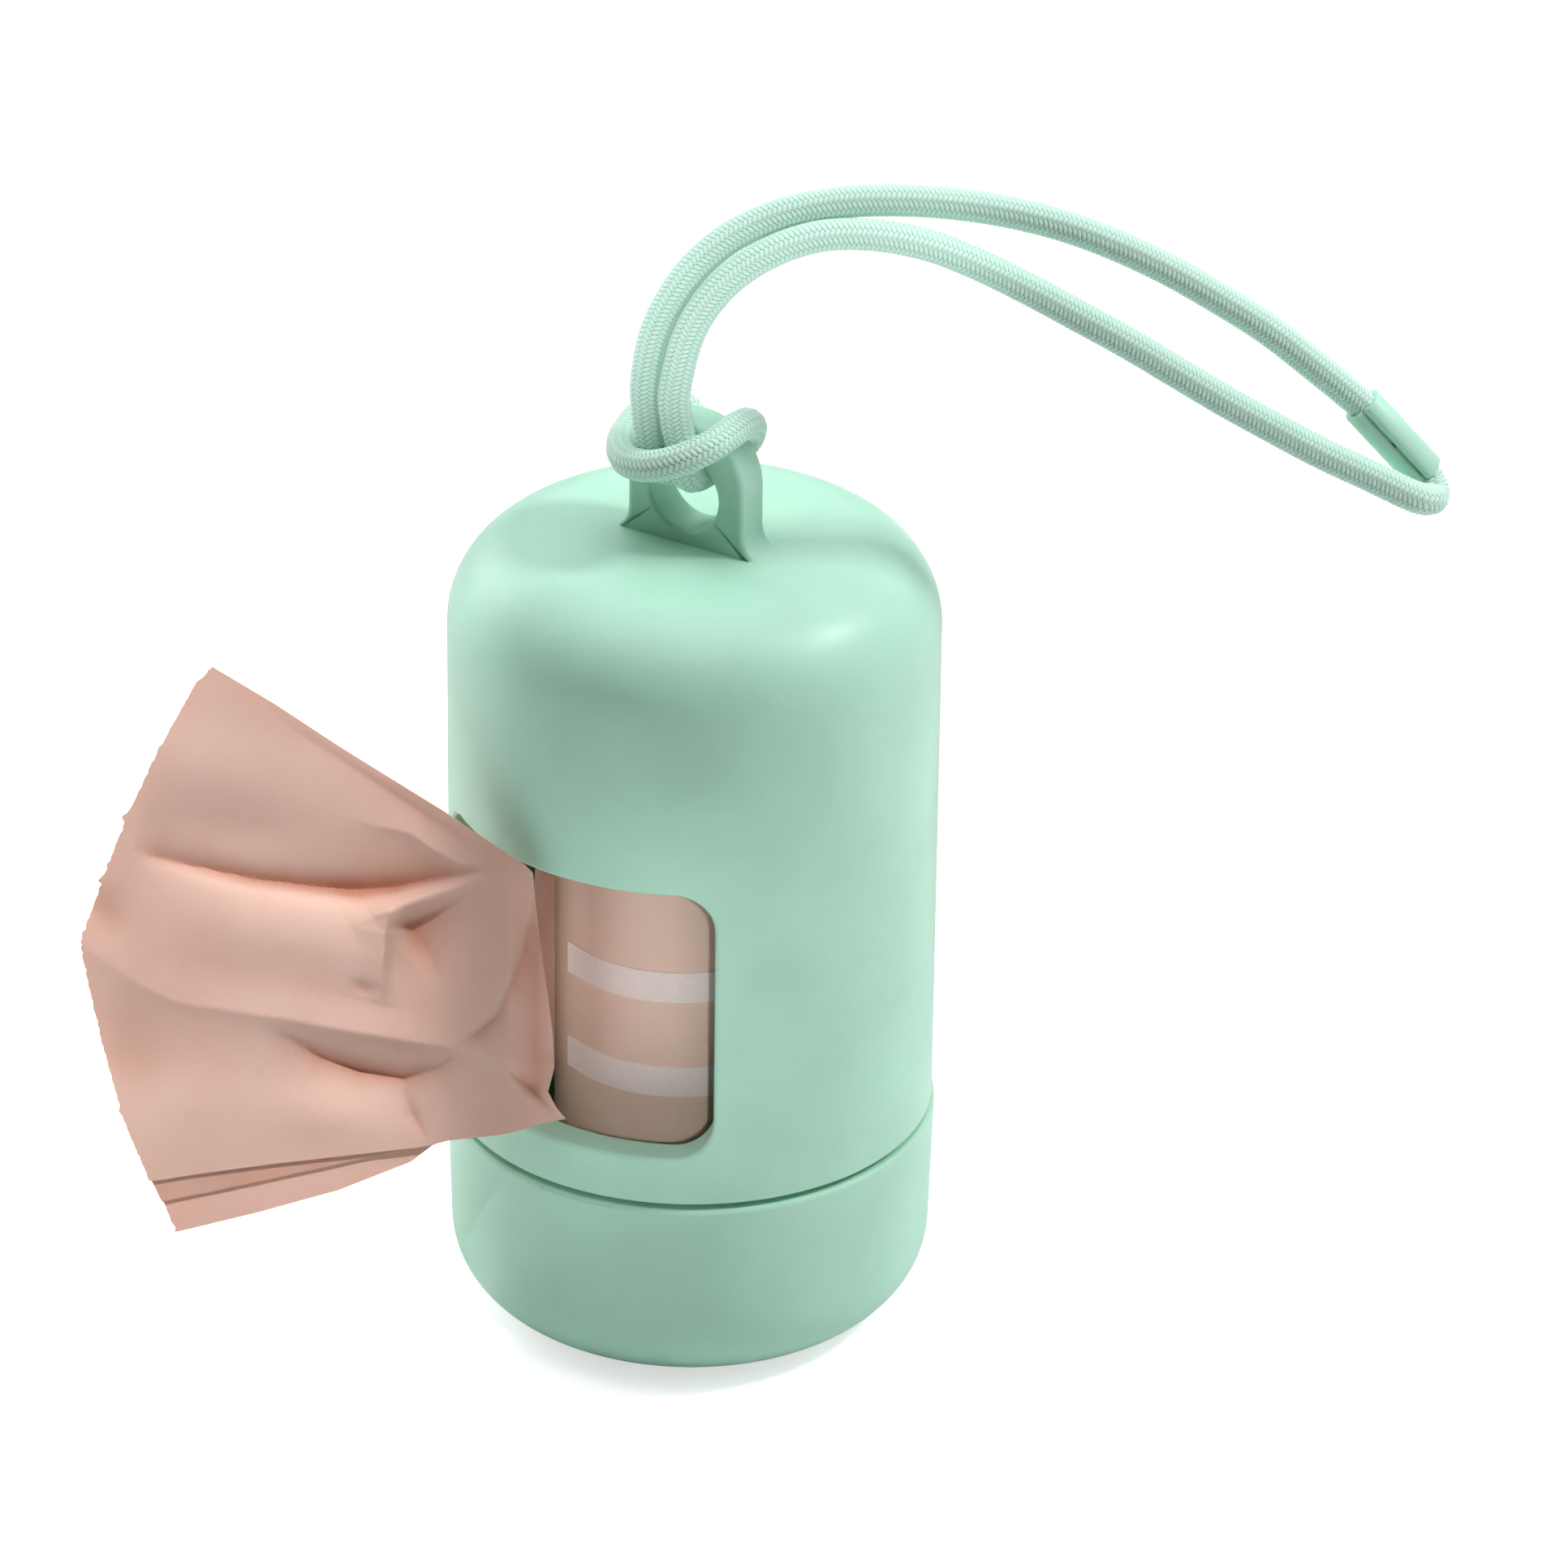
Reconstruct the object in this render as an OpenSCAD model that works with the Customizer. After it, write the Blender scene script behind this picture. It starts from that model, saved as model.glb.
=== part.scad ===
// Dog poop bag dispenser: a round moulded housing with a screw-on base cup, a roll of
// bags that is pulled out through a side window, and a looped elastic wrist cord.
// Millimetres, +Z up. The origin is the centre of the flat foot, and the window faces -Y.

/* [Housing] */
// Outer diameter of the housing
body_d = 45; // [43:0.5:60]
// Height of the housing's flat top above the foot
body_h = 77.7; // [72:0.1:90]
// Wall of the housing
wall = 3; // [2.6:0.1:4]
// Radius of the shoulder between the side and the flat top
shoulder_r = 8.5; // [6:0.5:11]
// Wall that is left round the mouth, beside the screw collar
mouth_wall = 1.6; // [1.2:0.1:2]
// Rounding of the housing's bottom edge
mouth_edge_r = 0.3; // [0.1:0.05:0.6]

/* [Window] */
// Angle round the housing that the window takes, in degrees
window_angle = 84.4; // [60:1:110]
// Height of the window
window_h = 27.2; // [20:0.1:32]
// Height of the ledge between the mouth and the window's lower edge
ledge_h = 0.85; // [0.6:0.05:2]
// Radius of the window's corners
window_corner_r = 3.8; // [2:0.1:6]

/* [Cord lug] */
// Width of the lug
lug_w = 12.2; // [11:0.1:16]
// Thickness of the lug
lug_t = 4.2; // [3:0.1:6]
// Height of the lug above the flat top
lug_h = 12.1; // [11:0.1:14]
// Diameter of the eye
eye_d = 7.1; // [6:0.1:8]
// Height of the eye's centre above the flat top
eye_up = 4.9; // [4.6:0.1:5.5]
// Chamfer round the eye, which keeps the cord from chafing
eye_chamfer = 0.6; // [0.2:0.1:1]
// Rounding of the lug's edges
lug_edge_r = 0.9; // [0.4:0.1:1.4]
// Fillet between the lug and the flat top
lug_fillet_r = 1.4; // [0.8:0.1:2]
// Turn of the lug from the window's face, in degrees
lug_turn = 5; // [0:1:10]

/* [Base cap] */
// Height of the cap's rim above the foot
cap_h = 20.15; // [18:0.05:24]
// How far the cap's rim stands out past the housing's side
rim_out = 0.25; // [0.05:0.05:1]
// How much less the cap's radius is where its rounded bottom starts than at its rim
cup_taper = 0.35; // [0:0.05:1]
// Radius of the rounded bottom edge
cup_r = 7.5; // [5:0.5:10]
// Rounding of the rim's top edge
rim_edge_r = 0.4; // [0.1:0.05:0.8]
// Thickness of the cap's floor
floor_t = 3.2; // [2:0.1:4]
// Radius between the cap's floor and its inner wall
cavity_r = 4.5; // [2:0.5:6]
// Wall of the screw collar
collar_t = 1.5; // [1.2:0.1:1.8]
// Height of the collar above the rim
collar_h = 4; // [3:0.1:5]
// Room above the collar in the mouth
collar_end_gap = 0.4; // [0.2:0.1:1]
// Gap of the seam between the rim and the housing
seam_gap = 0.5; // [0.2:0.05:0.8]
// Room between the collar and the mouth, which the screw thread takes up
thread_gap = 0.5; // [0.3:0.05:0.8]
// Diameter of the spigot that keeps the roll upright
spigot_d = 10.4; // [8:0.1:10.6]
// Wall of the spigot
spigot_t = 1.4; // [1:0.1:2]
// Height of the spigot above the cap's floor
spigot_h = 14; // [8:0.5:20]

/* [Bag roll] */
// Outer diameter of the wound film
roll_d = 23.6; // [21:0.1:27]
// Width of the wound film
roll_w = 57.5; // [52:0.5:60]
// Bore of the paper core
core_bore = 13; // [12.8:0.1:14]
// Wall of the paper core
core_t = 1; // [0.6:0.1:1.2]
// How far the core stands out of the film at each end
core_out = 0.2; // [0:0.1:0.25]
// Running gap between the core and the film, and under the roll
roll_gap = 0.3; // [0.2:0.05:0.5]
// How far the roll leans off the housing's axis
roll_lean = 1; // [0:0.1:1]

/* [Tape bands] */
// Width of a tape band
tape_w = 3.1; // [2:0.1:5]
// Distance between the two bands' middles
tape_pitch = 9.9; // [7:0.1:20]
// Thickness of the tape
tape_t = 0.15; // [0.1:0.05:0.3]
// Angle round the roll that a band takes, in degrees
tape_angle = 280; // [200:5:300]

/* [Pulled bag] */
// Thickness of the folded film that is pulled out
bag_t = 1; // [0.6:0.1:1.6]
// Height that the film is squeezed to where it comes off the roll
bag_neck_h = 23; // [18:0.1:24]
// Height of the film at its free end
bag_end_h = 57.5; // [52:0.5:60]
// How far the middle of the free end lies above the middle of the window
bag_rise = 2.5; // [-4:0.5:6]
// How far the middle of the free end stands out past its corners
bag_bow = 8; // [0:0.5:12]

/* [Wrist cord] */
// Diameter of the cord
cord_d = 3; // [2.4:0.1:3]
// Diameter that the cord is crimped to in the ferrule
crimped_d = 2.8; // [2:0.1:2.9]

/* [Ferrule] */
// Length of the ferrule
ferrule_l = 9; // [7:0.1:10]
// Thickness of the ferrule's strip
ferrule_t = 0.4; // [0.3:0.05:0.5]
// Room between the ferrule and the crimped cord
ferrule_gap = 0.1; // [0.05:0.05:0.3]
// Width of the slot between the ferrule's rolled edges
ferrule_slot = 0.5; // [0.3:0.1:1]

/* [Hidden] */
$fn = 96;
eps = 0.01;

MINT = "#BCE5D3";
FILM = "#D2AE9E";
PAPER = "#E0CCC2";
CARD = "#B89B78";

// Housing
body_r = body_d / 2;
bore_r = body_r - wall;
seam_z = cap_h + seam_gap;
mouth_r = body_r - mouth_wall;
cavity_top = body_h - wall;
mouth_h = collar_h - seam_gap + collar_end_gap;
window_z = seam_z + mouth_h + ledge_h;
window_mid_z = window_z + window_h / 2;
eye_z = body_h + eye_up;
lug_top_z = body_h + lug_h;
lug_round_z = lug_top_z - lug_w / 2;

// Base cap
rim_r = body_r + rim_out;
cup_r_out = rim_r - cup_taper;
collar_r = mouth_r - thread_gap;
cup_bore_r = collar_r - collar_t;
spigot_r = spigot_d / 2;

// Roll
film_r = roll_d / 2;
core_r = core_bore / 2 + core_t;
roll_z = floor_t + roll_gap + core_out;
roll_mid_z = roll_z + roll_w / 2;
lean_dir = 217;
roll_at = roll_lean * [cos(lean_dir), sin(lean_dir)];
tape_gap = 0.05;
// A band starts where the film leaves the roll, at the left, and runs round the front to the back.
tape_start = 247;

// The line, seen from above, that the film follows from the roll through the window, round a
// sharp fold beside the wall and out to its free end
BAG_LINE = [[-5.6, -13], [-4.3, -17], [-1.8, -22], [-0.8, -24.2], [-2.4, -25.9], [-8.8, -28.2],
    [-17.9, -31.1], [-27.7, -34.7], [-34.7, -37]];
// How far each of those points is along the spread of the film, from 0 at the roll to 1 at its free end
BAG_SPREAD = [0, 0.08, 0.08, 0.1, 0.17, 0.4, 0.65, 0.87, 1];
BAG_ROWS = 10;

// The cord's route, from inside the ferrule along the outer strand, round the lug and back
CORD_LINE = [
    [48.8, 39.3, 87.2], [46.6, 37.6, 90.3], [43.2, 34.7, 94.3], [40, 31.9, 97.9], [36.6, 29, 101],
    [33.1, 26, 103.9], [29.5, 22.9, 106.4], [25.8, 19.8, 108.4], [21.9, 16.6, 109.8],
    [18, 13.3, 110.7], [14.1, 10, 111.1], [10.2, 6.8, 110.9], [6.3, 3.6, 109.8], [2.8, 0.7, 107.5],
    [0, -1.7, 103.8], [-1.9, -3.4, 98.9], [-2.6, -4, 94],
    // into the eye from the front, left of the middle
    [-2.5, -4, 91], [-2.1, -4, 88.6], [-1.7, -3.9, 86.7], [-1.4, -3.5, 85], [-1.3, -2.3, 84.1],
    [-1.5, -0.3, 83.8], [-1.7, 1.7, 84],
    // up behind the lug, over its left shoulder and across the front as the bight
    [-2, 3, 84.8], [-2.7, 3.7, 86.2], [-3.9, 3.7, 87.6], [-5.5, 3.1, 88.6], [-6.9, 1.6, 88.7],
    [-7.6, -0.3, 88], [-7.5, -2.2, 87.2], [-6.6, -3.9, 86.8], [-4.8, -5.4, 86.6],
    [-2.6, -6.6, 86.7], [-0.3, -7, 87.1], [1.9, -6.7, 87.8], [3.7, -5.5, 88.6],
    // over the right shoulder, down behind the lug and out of the eye
    [4.9, -3.7, 89.5], [5.4, -1.7, 90.2], [5.1, 0.2, 90.5], [4.9, 2.1, 90.1], [4.7, 3.7, 88.9],
    [3.9, 4.4, 87.3], [2.6, 4.1, 85.8], [1.7, 3.4, 84.7], [1.4, 1.9, 84], [1.5, -0.1, 83.8],
    [1.7, -2.1, 84.1], [1.9, -3.2, 85], [1.6, -3.7, 86.6], [1.1, -3.7, 88.6], [0.6, -3.8, 91],
    // the inner strand back to the ferrule
    [0.5, -3.8, 94], [1.5, -2.9, 99.5], [3.6, -1.1, 103.8], [6.7, 1.3, 106.9], [10.3, 4.2, 108.6],
    [14.1, 7.2, 108.7], [17.9, 10.2, 107.7], [21.5, 13, 105.8], [25, 15.8, 103.4],
    [28.4, 18.6, 100.8], [31.9, 21.3, 98.2], [35.3, 24, 95.4], [38.7, 26.7, 92.6],
    [42.2, 29.5, 89.9], [45.7, 32.3, 87.3], [49.3, 35.1, 85], [52.3, 37.5, 83], [53.1, 38.9, 82.3],
    [53, 40.3, 82], [52.3, 41.1, 82.5], [51.3, 41.2, 83.6], [49.1, 39.5, 86.7]];
CORD_SIDES = 8;
// Rings at each end of the route that lie in the ferrule
CRIMPED_RINGS = 2;

// Ferrule: the middle of its axis, its lean from upright and its turn about Z
FERRULE_AT = [48.95, 39.4, 86.95];
FERRULE_LEAN = -41.7;
FERRULE_TURN = 37;

// ---- Shared helpers ----

// A closed skin over rings that have the same even number of points, given from one end to the other
module skin(rings) {
    n = len(rings[0]);
    last = len(rings) - 1;
    sides = [
        for (i = [0 : last - 1], j = [0 : n - 1]) let (k = (j + 1) % n) each [
            [i * n + j, i * n + k, (i + 1) * n + k],
            [i * n + j, (i + 1) * n + k, (i + 1) * n + j]
        ]
    ];
    // each end is closed by strips from one half of its ring to the other
    ends = [
        for (ring = [0, last], j = [0 : n / 2 - 2])
            let (a = ring * n + j, b = a + 1, d = ring * n + n - 1 - j, c = d - 1)
            each ring == 0 ? [[d, c, b], [d, b, a]] : [[a, b, c], [a, c, d]]
    ];
    polyhedron([for (ring = rings) each ring], concat(sides, ends));
}

// A half section with a rounded outer top corner, for a revolve
module top_rounded(r, h, corner) {
    square([r, h - corner]);
    square([r - corner, h]);
    translate([r - corner, h - corner]) circle(corner);
}

// A half section with a rounded outer bottom corner, for a revolve
module bottom_rounded(r, h, corner) {
    translate([0, corner]) square([r, h - corner]);
    square([r - corner, h]);
    translate([r - corner, corner]) circle(corner);
}

// ---- Housing ----

module housing_section() {
    difference() {
        union() {
            translate([0, seam_z + mouth_edge_r]) square([body_r, body_h - seam_z - shoulder_r]);
            translate([0, seam_z]) top_rounded(body_r, body_h - seam_z, shoulder_r);
        }
        // bore for the bag roll, with a shoulder that follows the outside
        translate([0, seam_z - eps])
            top_rounded(bore_r, cavity_top - seam_z + eps, shoulder_r - wall);
        // mouth for the screw collar
        translate([0, seam_z - eps]) square([mouth_r, mouth_h + eps]);
        mouth_edge_cut();
    }
}

// What the rounding of the bottom edge takes away
module mouth_edge_cut() {
    difference() {
        translate([body_r - mouth_edge_r, seam_z - eps])
            square([mouth_edge_r + eps, mouth_edge_r + eps]);
        translate([body_r - mouth_edge_r, seam_z + mouth_edge_r]) circle(mouth_edge_r);
    }
}

// The window's cutter: a sector between the corners, and at each side a radial bar with round corners
module window_cutter() {
    corner_turn = asin(window_corner_r / body_r);
    sector = window_angle - 2 * corner_turn;
    reach = body_r + 2;
    translate([0, 0, window_z]) rotate([0, 0, -90 - sector / 2])
        rotate_extrude(angle = sector) translate([bore_r / 2, 0]) square([reach - bore_r / 2, window_h]);
    for (s = [-1, 1]) translate([0, 0, window_mid_z]) rotate([90, 0, s * sector / 2])
        translate([0, 0, bore_r / 2]) linear_extrude(reach - bore_r / 2) scale([s, 1]) window_side();
}

// The section of one of those bars, with its round corners toward +X
module window_side() {
    lap = 1;
    translate([-lap, -window_h / 2]) square([lap, window_h]);
    translate([-lap, window_corner_r - window_h / 2])
        square([lap + window_corner_r, window_h - 2 * window_corner_r]);
    for (s = [-1, 1]) intersection() {
        translate([0, s * (window_h / 2 - window_corner_r)]) circle(window_corner_r);
        translate([-eps, -window_h]) square(2 * window_h);
    }
}

// The lug's plan section, a bar with rounded edges
module lug_plan() {
    x = lug_w / 2 - lug_edge_r;
    y = lug_t / 2 - lug_edge_r;
    square([lug_w, 2 * y], center = true);
    square([2 * x, lug_t], center = true);
    for (sx = [-1, 1], sy = [-1, 1]) translate([sx * x, sy * y]) circle(lug_edge_r);
}

// What lies between a concave fillet and the corner that it fills
module fillet_section() {
    difference() {
        translate([-eps, -eps]) square(lug_fillet_r + eps);
        translate([lug_fillet_r, lug_fillet_r]) circle(lug_fillet_r);
    }
}

// The fillet all round the lug's foot: four straight runs and four corners
module lug_foot() {
    x = lug_w / 2 - lug_edge_r;
    y = lug_t / 2 - lug_edge_r;
    for (s = [-1, 1]) {
        translate([s * lug_w / 2, 0, 0]) rotate([90, 0, s > 0 ? 0 : 180])
            linear_extrude(2 * y, center = true) fillet_section();
        translate([0, s * lug_t / 2, 0]) rotate([90, 0, s > 0 ? 90 : -90])
            linear_extrude(2 * x, center = true) fillet_section();
    }
    for (k = [0 : 3]) {
        sx = k == 0 || k == 3 ? 1 : -1;
        sy = k < 2 ? 1 : -1;
        translate([sx * x, sy * y, 0]) rotate([0, 0, 90 * k])
            rotate_extrude(angle = 90) translate([lug_edge_r, 0]) fillet_section();
    }
}

module lug() {
    sunk = 1;
    difference() {
        union() {
            translate([0, 0, body_h - sunk]) linear_extrude(lug_round_z - body_h + sunk) lug_plan();
            // the round head, a half turn of the same section
            translate([0, 0, lug_round_z]) rotate([90, 0, 0]) rotate_extrude(angle = 180)
                intersection() {
                    lug_plan();
                    translate([0, -lug_t]) square([lug_w, 2 * lug_t]);
                }
            translate([0, 0, body_h]) lug_foot();
        }
        translate([0, 0, eye_z]) rotate([90, 0, 0]) {
            cylinder(d = eye_d, h = lug_t + 2, center = true);
            for (s = [0, 1]) mirror([0, 0, s]) translate([0, 0, lug_t / 2 - eye_chamfer])
                cylinder(d1 = eye_d, d2 = eye_d + 4 * eye_chamfer, h = 2 * eye_chamfer);
        }
    }
}

module housing() {
    color(MINT) difference() {
        union() {
            rotate_extrude($fn = 180) housing_section();
            rotate([0, 0, lug_turn]) lug();
        }
        window_cutter();
    }
}

// ---- Base cap ----

module cap_section() {
    difference() {
        union() {
            bottom_rounded(cup_r_out, cup_r + 1, cup_r);
            // the side, which widens a little to the rim
            polygon([[0, cup_r], [cup_r_out, cup_r], [rim_r, cap_h - rim_edge_r],
                [rim_r - rim_edge_r, cap_h - rim_edge_r], [rim_r - rim_edge_r, cap_h], [0, cap_h]]);
            translate([rim_r - rim_edge_r, cap_h - rim_edge_r]) circle(rim_edge_r);
            collar_section();
        }
        translate([0, floor_t]) bottom_rounded(cup_bore_r, cap_h + collar_h, cavity_r);
    }
}

// The collar that screws into the mouth, with a chamfer to lead it in
module collar_section() {
    lead = collar_t / 3;
    top = cap_h + collar_h;
    polygon([[0, cap_h - 1], [collar_r, cap_h - 1], [collar_r, top - lead],
        [collar_r - lead, top], [0, top]]);
}

// The spigot that stands in the roll's core, with a tapered tip
module spigot_section() {
    tip = spigot_t / 2;
    top = floor_t + spigot_h;
    polygon([[spigot_r - spigot_t, floor_t - 1], [spigot_r, floor_t - 1], [spigot_r, top - tip],
        [spigot_r - tip, top], [spigot_r - spigot_t, top]]);
}

module base_cap() {
    color(MINT) {
        rotate_extrude($fn = 180) {
            cap_section();
            spigot_section();
        }
    }
}

// ---- Bag roll ----

module tube(r_out, r_in, h, edge) {
    rotate_extrude($fn = 120) translate([r_in, 0]) polygon([[0, 0], [r_out - r_in - edge, 0],
        [r_out - r_in, edge], [r_out - r_in, h - edge], [r_out - r_in - edge, h], [0, h]]);
}

module roll_core() {
    color(CARD) translate([roll_at[0], roll_at[1], roll_z - core_out])
        tube(core_r, core_bore / 2, roll_w + 2 * core_out, 0.1);
}

module bag_roll() {
    film_edge = 0.4;
    color(FILM) translate([roll_at[0], roll_at[1], roll_z])
        tube(film_r, core_r + roll_gap, roll_w, film_edge);
}

module tape_band(z) {
    color(PAPER) translate([roll_at[0], roll_at[1], z - tape_w / 2]) rotate([0, 0, tape_start])
        rotate_extrude(angle = tape_angle, $fn = 120)
            translate([film_r + tape_gap, 0]) square([tape_t, tape_w]);
}

module upper_tape() { tape_band(roll_mid_z + tape_pitch / 2); }

module lower_tape() { tape_band(roll_mid_z - tape_pitch / 2); }

// ---- Pulled bag ----

// The direction of the film's line at one of its points, as a unit vector
function line_dir(i) =
    let (a = BAG_LINE[max(i - 1, 0)], b = BAG_LINE[min(i + 1, len(BAG_LINE) - 1)])
    (b - a) / norm(b - a);

// One ring of the film: up its front face and down its back face
function bag_ring(i) =
    let (
        d = line_dir(i),
        side = [-d[1], d[0]],
        f = BAG_SPREAD[i],
        h = bag_neck_h + (bag_end_h - bag_neck_h) * f,
        mid = window_mid_z + bag_rise * f
    )
    [
        for (face = [-1, 1], k = [0 : BAG_ROWS])
            let (
                v = (face < 0 ? 1 : -1) * (2 * k / BAG_ROWS - 1),
                out = bag_bow * max(0, f - 0.35) * (1 - v * v),
                p = BAG_LINE[i] + out * d + face * bag_t / 2 * side
            )
            [p[0], p[1], mid + v * h / 2]
    ];

module pulled_bag() {
    color(FILM) skin([for (i = [len(BAG_LINE) - 1 : -1 : 0]) bag_ring(i)]);
}

// ---- Wrist cord and ferrule ----

function unit(v) = v / norm(v);

function cord_dir(i) =
    unit(CORD_LINE[min(i + 1, len(CORD_LINE) - 1)] - CORD_LINE[max(i - 1, 0)]);

// The side vector of each ring, turned as little as possible from the ring before
function cord_sides_from(i, before) =
    i == len(CORD_LINE) ? [] :
    let (d = cord_dir(i), s = unit(before - (before * d) * d))
    concat([s], cord_sides_from(i + 1, s));

module wrist_cord() {
    last = len(CORD_LINE) - 1;
    across = cord_sides_from(0, [0, 0, 1]);
    color(MINT) skin([
        for (i = [0 : last])
            let (
                r = (min(i, last - i) < CRIMPED_RINGS ? crimped_d : cord_d) / 2,
                d = cord_dir(i),
                v = cross(d, across[i])
            )
            [
                for (k = [0 : CORD_SIDES - 1]) let (a = 360 * k / CORD_SIDES)
                    CORD_LINE[i] + r * (cos(a) * across[i] + sin(a) * v)
            ]
    ]);
}

// The crimped strip: a C with its two edges rolled round, open to the front
module ferrule_section() {
    inner_r = crimped_d / 2 + ferrule_gap;
    outer_r = inner_r + ferrule_t;
    lip_r = ferrule_t * 0.75;
    lip_x = ferrule_slot / 2 + lip_r;
    lip_at = inner_r + ferrule_t / 2;
    difference() {
        circle(outer_r);
        circle(inner_r);
        translate([-lip_x, -outer_r - 1]) square([2 * lip_x, outer_r + 1]);
    }
    for (s = [-1, 1]) translate([s * lip_x, -sqrt(lip_at * lip_at - lip_x * lip_x)]) circle(lip_r, $fn = 32);
}

module cord_ferrule() {
    color(MINT) translate(FERRULE_AT) rotate([0, FERRULE_LEAN, FERRULE_TURN])
        linear_extrude(ferrule_l, center = true) ferrule_section();
}

housing();
base_cap();
roll_core();
bag_roll();
upper_tape();
lower_tape();
pulled_bag();
wrist_cord();
cord_ferrule();
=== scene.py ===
"""Dog poop bag dispenser: the finished look of each piece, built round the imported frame."""

import math

import bpy
import numpy as np
from mathutils import Matrix, Vector


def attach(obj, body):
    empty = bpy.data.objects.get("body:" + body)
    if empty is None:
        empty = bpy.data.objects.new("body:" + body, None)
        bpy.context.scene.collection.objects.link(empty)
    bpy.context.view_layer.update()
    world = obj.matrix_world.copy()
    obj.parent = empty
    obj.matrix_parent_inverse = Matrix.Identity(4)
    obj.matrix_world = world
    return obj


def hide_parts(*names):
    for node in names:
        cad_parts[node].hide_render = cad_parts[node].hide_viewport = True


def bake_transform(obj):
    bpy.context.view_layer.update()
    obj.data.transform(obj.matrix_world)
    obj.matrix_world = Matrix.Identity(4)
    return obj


bl_info = {
    "name": "Bag dispenser",
    "version": (1, 0, 0),
    "blender": (4, 5, 0),
    "location": "View3D > Sidebar > Bag dispenser",
    "description": "Builds a bag dispenser with its roll, pulled bag and wrist cord",
    "category": "Object",
}

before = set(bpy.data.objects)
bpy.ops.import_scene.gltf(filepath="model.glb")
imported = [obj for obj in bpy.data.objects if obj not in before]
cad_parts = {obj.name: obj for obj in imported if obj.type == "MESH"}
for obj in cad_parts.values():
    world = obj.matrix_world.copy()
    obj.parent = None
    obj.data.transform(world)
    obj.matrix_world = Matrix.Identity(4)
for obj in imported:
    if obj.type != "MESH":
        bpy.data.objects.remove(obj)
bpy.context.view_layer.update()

MM = 0.001
FULL_TURN = 2 * math.pi

# The camera's own directions over the ground: to its right, and from the object toward it
VIEW_AZIMUTH = math.radians(37)
VIEW_ELEVATION = math.radians(28.67)
VIEW_RIGHT = np.array([math.cos(VIEW_AZIMUTH), math.sin(VIEW_AZIMUTH), 0.0])
VIEW_NEAR = np.array([math.sin(VIEW_AZIMUTH), -math.cos(VIEW_AZIMUTH), 0.0])
UP = np.array([0, 0, 1.0])
TOWARD_CAMERA = VIEW_NEAR * math.cos(VIEW_ELEVATION) + UP * math.sin(VIEW_ELEVATION)


# ---------------------------------------------------------------- shared helpers


def srgb(code):
    """A hex colour as linear red, green, blue and full alpha."""
    levels = [int(code[i : i + 2], 16) / 255 for i in (1, 3, 5)]
    linear = [v / 12.92 if v <= 0.04045 else ((v + 0.055) / 1.055) ** 2.4 for v in levels]
    return (*linear, 1.0)


def toned(tint, share):
    """A colour made lighter or darker by a share."""
    return tuple(min(1.0, v * share) for v in tint[:3]) + (1.0,)


def view_point(right, near, height):
    """Places from their distances along the camera's right, toward the camera and upward."""
    right, near, height = (np.asarray(v, float)[..., None] for v in (right, near, height))
    return right * VIEW_RIGHT + near * VIEW_NEAR + height * UP


def deselect_all():
    if bpy.context.object and bpy.context.object.mode != "OBJECT":
        bpy.ops.object.mode_set(mode="OBJECT")
    bpy.ops.object.select_all(action="DESELECT")


def make_active(obj):
    deselect_all()
    bpy.context.view_layer.objects.active = obj
    obj.select_set(True)


def new_mesh(name, points, faces):
    """A mesh object from points in millimetres."""
    mesh = bpy.data.meshes.new(name)
    mesh.from_pydata([tuple(float(v) * MM for v in p) for p in points], [], faces)
    mesh.validate()
    obj = bpy.data.objects.new(name, mesh)
    bpy.context.scene.collection.objects.link(obj)
    return obj


def clean_mesh(obj, gap=0.002):
    """Merges doubled points and turns every face outwards."""
    make_active(obj)
    bpy.ops.object.mode_set(mode="EDIT")
    bpy.ops.mesh.select_all(action="SELECT")
    bpy.ops.mesh.remove_doubles(threshold=gap * MM)
    bpy.ops.mesh.delete_loose()
    bpy.ops.mesh.select_all(action="SELECT")
    bpy.ops.mesh.normals_make_consistent(inside=False)
    bpy.ops.object.mode_set(mode="OBJECT")


def shade(obj, angle=40):
    make_active(obj)
    bpy.ops.object.shade_smooth_by_angle(angle=math.radians(angle))


def apply_modifier(obj, kind, **settings):
    make_active(obj)
    modifier = obj.modifiers.new(kind.title(), kind)
    for key, value in settings.items():
        setattr(modifier, key, value)
    bpy.ops.object.modifier_apply(modifier=modifier.name)


def arc(cx, cz, r, start, end, steps):
    """Points of an arc, with both ends."""
    return [
        (
            cx + r * math.cos(math.radians(start + (end - start) * i / steps)),
            cz + r * math.sin(math.radians(start + (end - start) * i / steps)),
        )
        for i in range(steps + 1)
    ]


def finish_piece(obj, body, slot, material, *nodes):
    """Gives a piece its material and its body, and hides the solids that it stands for; the slot is not used."""
    obj.data.materials.clear()
    obj.data.materials.append(material)
    if body:
        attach(obj, body)
    if nodes:
        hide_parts(*nodes)
    return obj


# ---------------------------------------------------------------- materials


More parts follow.
